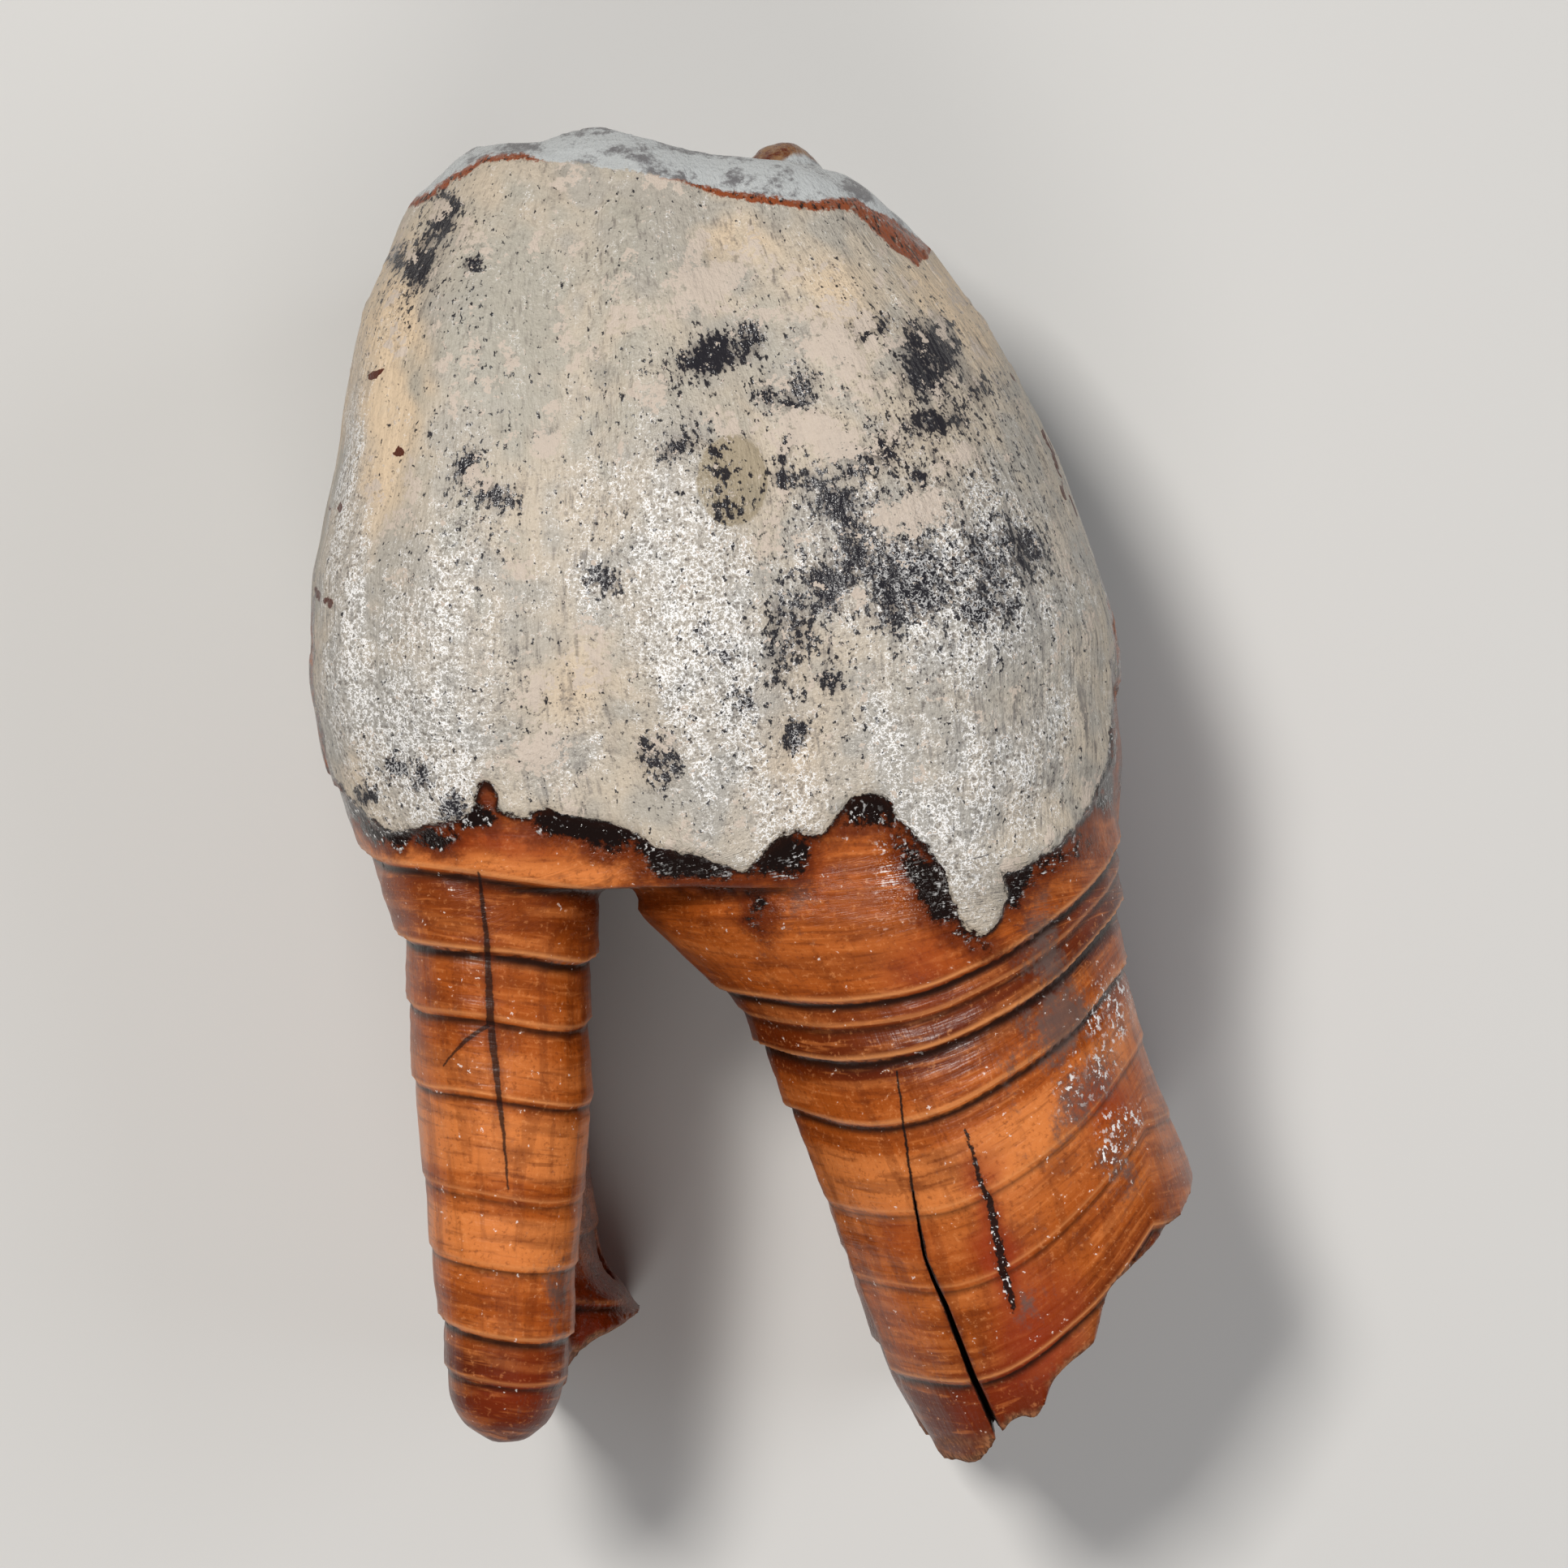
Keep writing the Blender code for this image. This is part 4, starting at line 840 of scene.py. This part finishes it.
def fossilTooth():
    made = roughTooth()
    modifier = made.modifiers.new("skin", "REMESH")
    modifier.mode = "VOXEL"
    modifier.voxel_size = tooth["skinGrid"] * mm
    modifier.adaptivity = 0.0
    applyModifiers(made)
    print("tooth: skin of", len(made.data.vertices), "points")
    sculpt(made)
    cut(made, crackBlade())
    thinHidden(made)
    paintFields(made)
    points, normals = readMesh(made)
    shiftX, shiftY = tooth["shift"]
    writePoints(made, points + (shiftX, shiftY, 0))
    made.data.shade_smooth()
    return made


# finish of the tooth: colours as linear red, green, blue
finish = {
    "cream": (0.525, 0.450, 0.355), "ivoryGrey": (0.415, 0.380, 0.325), "whiteGlint": (0.92, 0.91, 0.90),
    "blueGrey": (0.395, 0.375, 0.32), "yellowIvory": (0.69, 0.53, 0.36), "speckGrey": (0.125, 0.105, 0.095),
    "glossGrey": (0.40, 0.395, 0.38), "manganese": (0.010, 0.010, 0.016), "chalk": (0.555, 0.470, 0.395),
    "knobBrown": (0.30, 0.24, 0.15), "resin": (0.09, 0.020, 0.008), "rust": (0.26, 0.062, 0.018),
    "rimEnamel": (0.50, 0.52, 0.52), "rimMottle": (0.17, 0.165, 0.17), "dentine": (0.28, 0.15, 0.07),
    "amber": (0.37, 0.080, 0.009), "paleAmber": (0.66, 0.205, 0.05), "darkAmber": (0.105, 0.014, 0.0012),
    "paleGrainAndLipHighlight": (0.80, 0.32, 0.11), "recessShadow": (0.018, 0.005, 0.002), "redAmber": (0.26, 0.026, 0.003),
    "greyAmber": (0.11, 0.078, 0.068), "umber": (0.008, 0.0035, 0.0025),
    "brokenBone": (0.34, 0.14, 0.06), "brokenDark": (0.13, 0.05, 0.022), "crackBlack": (0.006, 0.004, 0.003),
}
# fine noises: (what it follows, scale, detail, roughness, stretch)
fineNoises = {
    "grit": ("place", 2.9, 2, 0.7), "mottle": ("place", 1.5, 3, 0.75),
    "scores": ("grain", 1.0, 2, 0.6, (2.8, 0.30, 2.8)), "specks": ("grain", 1.0, 2, 0.7, (2.6, 1.7, 2.6)),
    "rings": ("grain", 1.0, 2, 0.65, (0.22, 2.2, 0.22)),
}
# roughness: one value, or plain and where the varnish is thick
roughness = {
    "cover": (0.50, 0.26), "stain": 0.22, "chalk": 0.75, "root": (0.34, 0.14), "varnish": 0.10, "rim": 0.28,
    "broken": 0.8, "grainy": 0.24,
}
specularLevel = 0.36
bumpHeight = 0.11            # millimetres


class Nodes:
    # short ways to add and join shader nodes

    def __init__(self, material):
        self.tree = material.node_tree
        self.known = {}

    def add(self, kind, **settings):
        node = self.tree.nodes.new(kind)
        for name, value in settings.items():
            setattr(node, name, value)
        return node

    def put(self, socket, value):
        if isinstance(value, bpy.types.NodeSocket):
            self.tree.links.new(value, socket)
        elif isinstance(value, tuple) and len(value) == 3 and socket.type == "RGBA":
            socket.default_value = (*value, 1)
        else:
            socket.default_value = value

    def math(self, operation, a, b=0.0, c=0.0, clamp=False):
        node = self.add("ShaderNodeMath", operation=operation, use_clamp=clamp)
        for socket, value in zip(node.inputs, (a, b, c)):
            self.put(socket, value)
        return node.outputs[0]

    def times(self, a, b):
        return self.math("MULTIPLY", a, b)

    def plus(self, a, b, c=1.0):
        # a times c, plus b
        return self.math("MULTIPLY_ADD", a, c, b)

    def away(self, a, b=0.0):
        # how far a is from b, either way
        return self.math("ABSOLUTE", self.math("SUBTRACT", a, b))

    def step(self, value, low, high):
        # 0 at 'low', 1 at 'high', smooth between
        node = self.add("ShaderNodeMapRange", interpolation_type="SMOOTHSTEP")
        for name, given in (("Value", value), ("From Min", low), ("From Max", high)):
            self.put(node.inputs[name], given)
        return node.outputs["Result"]

    def mix(self, share, a, b, kind="RGBA"):
        node = self.add("ShaderNodeMix", data_type=kind)
        first, second = (6, 7) if kind == "RGBA" else (2, 3)
        self.put(node.inputs["Factor"], share)
        self.put(node.inputs[first], a)
        self.put(node.inputs[second], b)
        return node.outputs[2 if kind == "RGBA" else 0]

    def blend(self, share, a, b):
        return self.mix(share, a, b, "FLOAT")

    def tint(self, colour, shade, low, high, weight, over):
        # lays the finish 'over' where 'shade' passes from low to high, up to 'weight'
        return self.mix(self.times(self.step(shade, low, high), weight), colour, finish[over])

    def tints(self, colour, *layers):
        for layer in layers:
            colour = self.tint(colour, *layer)
        return colour

    def field(self, name):
        node = self.add("ShaderNodeAttribute", attribute_type="GEOMETRY", attribute_name=name)
        return node.outputs["Vector"]

    def read(self, name):
        # a number that the mesh keeps
        layer, column = divmod(kept.index(name), 3)
        if layer not in self.known:
            self.known[layer] = self.add("ShaderNodeSeparateXYZ")
            self.put(self.known[layer].inputs[0], self.field(f"kept{layer}"))
        return self.known[layer].outputs[column]

    def readAll(self, *names):
        return [self.read(name) for name in names]

    def noise(self, vector, scale, detail, rough, stretch=None):
        if stretch:
            node = self.add("ShaderNodeVectorMath", operation="MULTIPLY")
            self.put(node.inputs[0], vector)
            node.inputs[1].default_value = stretch
            vector = node.outputs[0]
        node = self.add("ShaderNodeTexNoise")
        for name, value in (("Vector", vector), ("Scale", scale), ("Detail", detail), ("Roughness", rough)):
            self.put(node.inputs[name], value)
        return node.outputs["Fac"]

    def ramp(self, value, stops):
        # stops: (place from 0 to 1, colour)
        node = self.add("ShaderNodeValToRGB")
        self.put(node.inputs[0], value)
        band = node.color_ramp
        while len(band.elements) < len(stops):
            band.elements.new(0.5)
        for element, (place, colour) in zip(band.elements, stops):
            element.position = place
            element.color = (*colour, 1)
        return node.outputs["Color"]


def ledgeShadeStops(ledges, low, high):
    # painted light down a root: 0.5 is plain, 1 the painted highlight on the pale lip of a ledge and 0 the
    # painted shadow in the recess below it
    stops = []
    for at, depth in sorted(ledges):
        weight = 0.5 * min(1.0, 0.4 + depth * 1.2)
        reach = 1 + depth
        for off, share in ((-0.6 * reach, 0), (-0.13 * reach, -1), (0.12, 1), (0.45, 0)):
            shade = 0.5 + weight * share
            stops.append(((at + off - low) / (high - low), (shade, shade, shade)))
    return sorted(stops)


def enamelColour(n, fine):
    # the pale cover: cream with grey and yellow areas, streaks, specks, black manganese stains and painted
    # glints;
    # also the shares of stain and of chalky skin
    black, chalk, resin, pepper, gloss = n.readAll("black", "chalk", "resin", "pepper", "gloss")
    cloud, patch, streak, coarse, striped = n.readAll("cloud", "patch", "streak", "coarse", "striped")
    colour = n.mix(n.step(n.plus(cloud, patch, 0.9), -0.5, 0.2), finish["ivoryGrey"], finish["cream"])
    stripes = n.plus(streak, n.plus(fine["mottle"], fine["scores"], 1.6), 0.6)
    colour = n.tints(
        colour,
        (n.plus(n.read("yellow"), n.times(cloud, 0.7), 1.6), 0.3, 1.2, 0.9, "yellowIvory"),
        (n.plus(n.read("blue"), patch, 1.5), 0.3, 1.2, 0.8, "blueGrey"),
        (stripes, 1.15, 0.7, n.times(striped, 0.55), "speckGrey"),
        (fine["mottle"], 0.45, 0.26, n.times(coarse, 0.5), "speckGrey"),
        (fine["scores"], 0.45, 0.28, n.times(striped, 0.75), "speckGrey"))
    shiny = n.step(gloss, 0.15, 1.1)
    colour = n.mix(n.times(shiny, 0.5), colour, finish["glossGrey"])
    # manganese: dense in the middle of a stain, broken into specks at its border and beyond
    halo = n.plus(black, n.plus(fine["mottle"], n.times(pepper, 0.35), 1.2))
    colour = n.tints(colour, (fine["grit"], 0.43, 0.30, n.times(coarse, 0.8), "speckGrey"),
                     (halo, 0.80, 1.5, 0.65, "speckGrey"))
    # a brownish knob with a sharp border
    onKnob = n.step(n.plus(fine["mottle"], n.read("knob"), 0.5), 0.14, 0.34)
    colour = n.mix(n.times(onKnob, 0.7), colour, finish["knobBrown"])
    specks = n.plus(fine["specks"], n.times(fine["grit"], 0.6))
    stain = n.step(n.plus(black, n.plus(specks, n.times(pepper, 0.45), 3.4), 1.2), 3.22, 3.6)
    colour = n.mix(n.times(stain, 0.95), colour, finish["manganese"])
    # painted glints of the varnish: short winding white threads in the base colour, dense in the glossy areas
    glintThread = n.plus(shiny, n.away(fine["grit"], 0.53), -0.03)
    upright = n.plus(fine["scores"], n.times(streak, 0.22), 0.5)
    glintShare = n.step(n.plus(fine["mottle"], n.plus(shiny, upright, 0.2)), 0.78, 1.0)
    glintShare = n.times(n.times(glintShare, n.plus(stain, 0.9, -0.45)), n.plus(onKnob, 1.0, -0.8))
    colour = n.tint(colour, glintThread, 0.030, 0.0, glintShare, "whiteGlint")
    skin = n.step(n.plus(n.plus(fine["grit"], fine["mottle"], 0.5), chalk, 2.6), 2.38, 2.46)
    colour = n.mix(n.times(skin, 0.9), colour, finish["chalk"])
    brown = n.step(n.plus(fine["mottle"], resin, 0.9), 1.0, 1.08)
    return n.mix(brown, colour, finish["resin"]), stain, skin


def rootColour(n, fine):
    # root cement: amber rings with a painted highlight on each ledge's lip and a painted shadow in the recess
    # below it, redder towards the tips
    broad, narrow, patch, gloss = n.readAll("broad", "narrow", "patch", "gloss")
    low, high = -46.0, 2.0
    bands = []
    for side in ("left", "right"):
        share = n.plus(n.read(side), -low / (high - low), 1 / (high - low))
        bands.append(n.ramp(share, ledgeShadeStops(tooth[side + "Ledges"], low, high)))
    band = n.mix(n.read("belongs"), *bands)
    film = n.plus(n.read("grey"), n.times(patch, 0.4), 1.3)
    film = n.plus(fine["specks"], n.plus(fine["mottle"], film, 1.8), 1.4)
    # painted glints of the varnish, and small painted white glint flecks
    shining = n.times(n.step(gloss, 0.25, 0.8), n.step(patch, -0.5, 0.2))
    glints = n.plus(fine["specks"], n.plus(fine["grit"], n.times(gloss, 0.08), 0.8))
    flecks = n.plus(n.read("glintFleck"), fine["grit"], 0.25)
    return n.tints(
        finish["amber"],
        (broad, 0.0, -1.0, 1.0, "darkAmber"), (broad, 0.0, 0.9, 0.9, "paleAmber"),
        (narrow, -0.05, -0.40, 0.35, "darkAmber"), (narrow, 0.15, 0.45, 0.3, "paleAmber"),
        (fine["rings"], 0.47, 0.30, 0.45, "darkAmber"), (fine["rings"], 0.54, 0.70, 0.4, "paleAmber"),
        (n.plus(n.read("upright"), fine["scores"], 1.2), 0.40, 0.0, 0.3, "darkAmber"),
        (n.plus(patch, fine["mottle"], 1.4), 0.75, 1.30, 0.3, "darkAmber"),
        (fine["grit"], 0.46, 0.28, 0.4, "darkAmber"), (fine["grit"], 0.56, 0.72, 0.3, "paleGrainAndLipHighlight"),
        (n.plus(n.read("red"), n.read("cloud"), 1.6), 0.3, 1.4, 0.85, "redAmber"),
        # painted highlight on the lip of each ledge and painted shadow in the recess below it
        (band, 0.5, 1.0, 0.75, "paleGrainAndLipHighlight"), (band, 0.5, 0.05, 1.0, "recessShadow"),
        (film, 1.9, 2.9, 0.8, "greyAmber"), (glints, 1.01, 1.13, shining, "whiteGlint"),
        (flecks, 0.74, 0.80, 0.5, "whiteGlint"))


def withDarkBand(n, fine, root, ragged, edge):
    # nearly black brown under the cover's edge, widest in patches, with painted glints on it and painted
    # shade in the hollows; also how dark it is
    cover, patch, umber = n.readAll("cover", "patch", "umber")
    near = n.math("MAXIMUM", cover, -4.0)
    spread = n.plus(ragged, n.times(patch, 0.6), 2.4)
    burnt = n.plus(near, n.plus(umber, n.plus(fine["specks"], spread, 0.8), 2.1), 0.5)
    root = n.tint(root, burnt, -0.7, 1.0, 0.85, "darkAmber")
    burnt = n.math("MAXIMUM", burnt, n.plus(edge, 1.7, 1.8))
    varnish = n.step(burnt, 0.95, 1.65)
    root = n.mix(varnish, root, finish["umber"])
    # painted glints on the varnished dark band
    varnish = n.times(n.times(varnish, n.step(patch, -0.4, 0.3)), 0.75)
    root = n.tint(root, n.plus(fine["specks"], fine["grit"], 0.8), 0.98, 1.13, varnish, "whiteGlint")
    # painted shade: the hollows are darkened
    return n.tint(root, n.read("hollowShade"), 0.03, 0.18, 0.85, "recessShadow"), burnt


def withWornEnd(n, fine, colour, ragged):
    # polished rim above the rust line, and brown dentine between pale crests with painted shade in its
    # hollows; also the share of rim
    mottled = n.plus(fine["mottle"], n.times(n.read("patch"), 0.9), 2.0)
    rim = n.mix(n.step(mottled, 0.45, 1.05), finish["rimMottle"], finish["rimEnamel"])
    rim = n.tint(rim, fine["specks"], 0.40, 0.25, 0.3, "rimMottle")
    rustPlace = n.plus(ragged, n.read("rust"), 0.9)
    onRim = n.step(rustPlace, -0.05, 0.12)
    offRust = n.math("SUBTRACT", n.away(rustPlace), n.read("rustWide"))
    rustLine = n.times(n.step(offRust, 0.14, -0.04), n.step(fine["mottle"], 0.25, 0.45))
    rusty = n.mix(n.step(fine["specks"], 0.34, 0.50), finish["umber"], finish["rust"])
    colour = n.mix(rustLine, n.mix(onRim, colour, rim), rusty)
    worn = n.mix(n.step(fine["mottle"], 0.35, 0.7), finish["dentine"], finish["darkAmber"])
    worn = n.mix(n.step(n.plus(fine["mottle"], n.read("dentine"), 0.3), 0.50, 0.70), rim, worn)
    # painted shade: the hollows of the worn end are darkened with umber
    worn = n.tint(worn, n.read("hollowShade"), 0.06, 0.25, 1.0, "umber")
    return n.mix(n.read("biting"), colour, worn), onRim


def withCracks(n, fine, colour):
    # thin cracks; resin stands in beads along the last one, with painted glints on the beads
    wobble = n.plus(fine["mottle"], -0.15, 0.3)
    beads = n.plus(fine["specks"], 0.35, -0.7)
    for name, extra, weight, over in (("left", 0.0, 0.85, "umber"), ("branch", 0.0, 0.8, "umber"),
                                      ("right", 0.0, 0.95, "crackBlack"), ("resin", beads, 0.95, "umber")):
        gap, half = n.readAll(name + "Crack", name + "CrackHalf")
        off = n.plus(extra, n.math("SUBTRACT", n.away(n.plus(wobble, gap)), half))
        halo = n.times(n.step(half, 0.0, 0.15), 0.45)
        colour = n.tints(colour, (off, 0.5, 0.0, halo, "darkAmber"), (off, 0.08, -0.02, weight, over))
    # painted glints on the resin beads
    beadGlints = n.times(n.step(off, 0.25, 0.05), n.step(half, 0.0, 0.3))
    return n.tint(colour, n.plus(fine["specks"], fine["grit"], 0.8), 1.03, 1.14, beadGlints, "whiteGlint")


def roughnessOf(n, fine, onCover, onRim, stain, skin, burnt):
    # varnished stains and gloss areas shine, chalk and breaks are dull
    gloss, broken = n.readAll("gloss", "broken")
    cover = n.blend(n.step(gloss, 0.1, 0.9), *roughness["cover"])
    cover = n.blend(stain, cover, roughness["stain"])
    cover = n.blend(skin, cover, roughness["chalk"])
    root = n.blend(n.step(gloss, 0.2, 0.9), *roughness["root"])
    root = n.blend(n.step(burnt, 0.9, 1.6), root, roughness["varnish"])
    rough = n.blend(onRim, n.blend(onCover, root, cover), roughness["rim"])
    rough = n.math("SUBTRACT", n.blend(broken, rough, roughness["broken"]), roughness["grainy"] / 2)
    return n.math("MULTIPLY_ADD", fine["grit"], roughness["grainy"], rough, clamp=True)


def reliefOf(n, fine):
    # granular cover that glitters, ringed and finely scored roots
    cover, gloss, umber = n.readAll("cover", "gloss", "umber")
    rootHeight = n.plus(fine["scores"], n.times(fine["rings"], 0.5), 0.3)
    shiny = n.math("MAXIMUM", n.step(umber, 0.3, 0.8), n.step(gloss, 0.3, 0.9))
    rootHeight = n.plus(fine["grit"], rootHeight, n.blend(shiny, 0.15, 1.0))
    coverHeight = n.plus(fine["grit"], fine["scores"], n.blend(n.step(gloss, 0.1, 0.9), 0.8, 1.8))
    bump = n.add("ShaderNodeBump")
    bump.inputs["Distance"].default_value = bumpHeight * mm
    n.put(bump.inputs["Height"], n.blend(n.step(cover, -0.1, 0.1), rootHeight, coverHeight))
    return bump.outputs["Normal"]


def fossilFinish():
    material = bpy.data.materials.new("fossilToothFinish")
    material.use_nodes = True
    n = Nodes(material)
    shader = material.node_tree.nodes["Principled BSDF"]
    fine = {name: n.noise(n.field(follows), *sizes) for name, (follows, *sizes) in fineNoises.items()}
    ragged = n.math("SUBTRACT", fine["mottle"], 0.5)
    edge = n.plus(ragged, n.read("cover"), 0.8)
    onCover = n.step(edge, -0.08, 0.06)
    enamel, stain, skin = enamelColour(n, fine)
    root, burnt = withDarkBand(n, fine, rootColour(n, fine), ragged, edge)
    colour, onRim = withWornEnd(n, fine, n.mix(onCover, root, enamel), ragged)
    # broken root ends: porous and greyish
    porous = n.mix(n.step(fine["specks"], 0.40, 0.60), finish["brokenDark"], finish["brokenBone"])
    colour = n.mix(n.read("broken"), colour, porous)
    n.put(shader.inputs["Base Color"], withCracks(n, fine, colour))
    n.put(shader.inputs["Roughness"], roughnessOf(n, fine, onCover, onRim, stain, skin, burnt))
    n.put(shader.inputs["Normal"], reliefOf(n, fine))
    shader.inputs["Specular IOR Level"].default_value = specularLevel
    return material


stage = {
    "floorHalf": 1.2, "floorColour": (0.62, 0.615, 0.60), "floorRoughness": 0.9,
    "worldColour": (0.90, 0.93, 1.0), "worldStrength": 0.12,
    "lightThatShines": "keyLight",     # the only light that shows in reflections
    # area lights: (x, y, z) in metres from the tooth, size, watts, colour
    "lights": {
        "keyLight": ((-0.17, 0.17, 0.60), 0.11, 3.0, (1.0, 0.97, 0.93)),
        "fillLight": ((0.42, 0.05, 0.40), 0.40, 0.9, (0.93, 0.96, 1.0)),
        "lowLight": ((-0.02, -0.30, 0.50), 0.25, 0.8, (1.0, 0.97, 0.94)),
    },
}


def layFloor():
    half = stage["floorHalf"]
    mesh = bpy.data.meshes.new("floor")
    mesh.from_pydata([(-half, -half, 0), (half, -half, 0), (half, half, 0), (-half, half, 0)], [],
                     [(0, 1, 2, 3)])
    floor = bpy.data.objects.new("floor", mesh)
    bpy.context.scene.collection.objects.link(floor)
    material = bpy.data.materials.new("floorPaper")
    material.use_nodes = True
    shader = material.node_tree.nodes["Principled BSDF"]
    shader.inputs["Base Color"].default_value = (*stage["floorColour"], 1)
    shader.inputs["Roughness"].default_value = stage["floorRoughness"]
    mesh.materials.append(material)


def lightStudio():
    world = bpy.data.worlds.new("studio")
    world.use_nodes = True
    sky = world.node_tree.nodes["Background"]
    sky.inputs["Color"].default_value = (*stage["worldColour"], 1)
    sky.inputs["Strength"].default_value = stage["worldStrength"]
    bpy.context.scene.world = world
    for name, (place, size, watts, colour) in stage["lights"].items():
        data = bpy.data.lights.new(name, "AREA")
        data.size = size
        data.energy = watts
        data.color = colour
        lamp = bpy.data.objects.new(name, data)
        lamp.location = place
        lamp.visible_glossy = name == stage["lightThatShines"]
        lamp.rotation_euler = (Vector((0, 0, 0.02)) - lamp.location).to_track_quat("-Z", "Y").to_euler()
        bpy.context.scene.collection.objects.link(lamp)


def placeCamera():
    data = bpy.data.cameras.new("camera")
    data.lens = camera["lens"]
    data.sensor_width = camera["sensorWidth"]
    data.clip_start = 0.01
    seer = bpy.data.objects.new("camera", data)
    shiftX, shiftY = tooth["shift"]
    seer.location = ((camera["x"] + shiftX) * mm, (camera["y"] + shiftY) * mm, camera["height"] * mm)
    bpy.context.scene.collection.objects.link(seer)
    bpy.context.scene.camera = seer


layFloor()
lightStudio()
placeCamera()
bpy.context.scene.view_settings.view_transform = "Standard"
print("stage: floor, lights and camera are set")

piece = fossilTooth()
piece.data.materials.clear()
piece.data.materials.append(fossilFinish())
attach(piece, "root")
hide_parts("rhino_tooth")
print("tooth: shaped and finished,", len(piece.data.polygons), "faces")
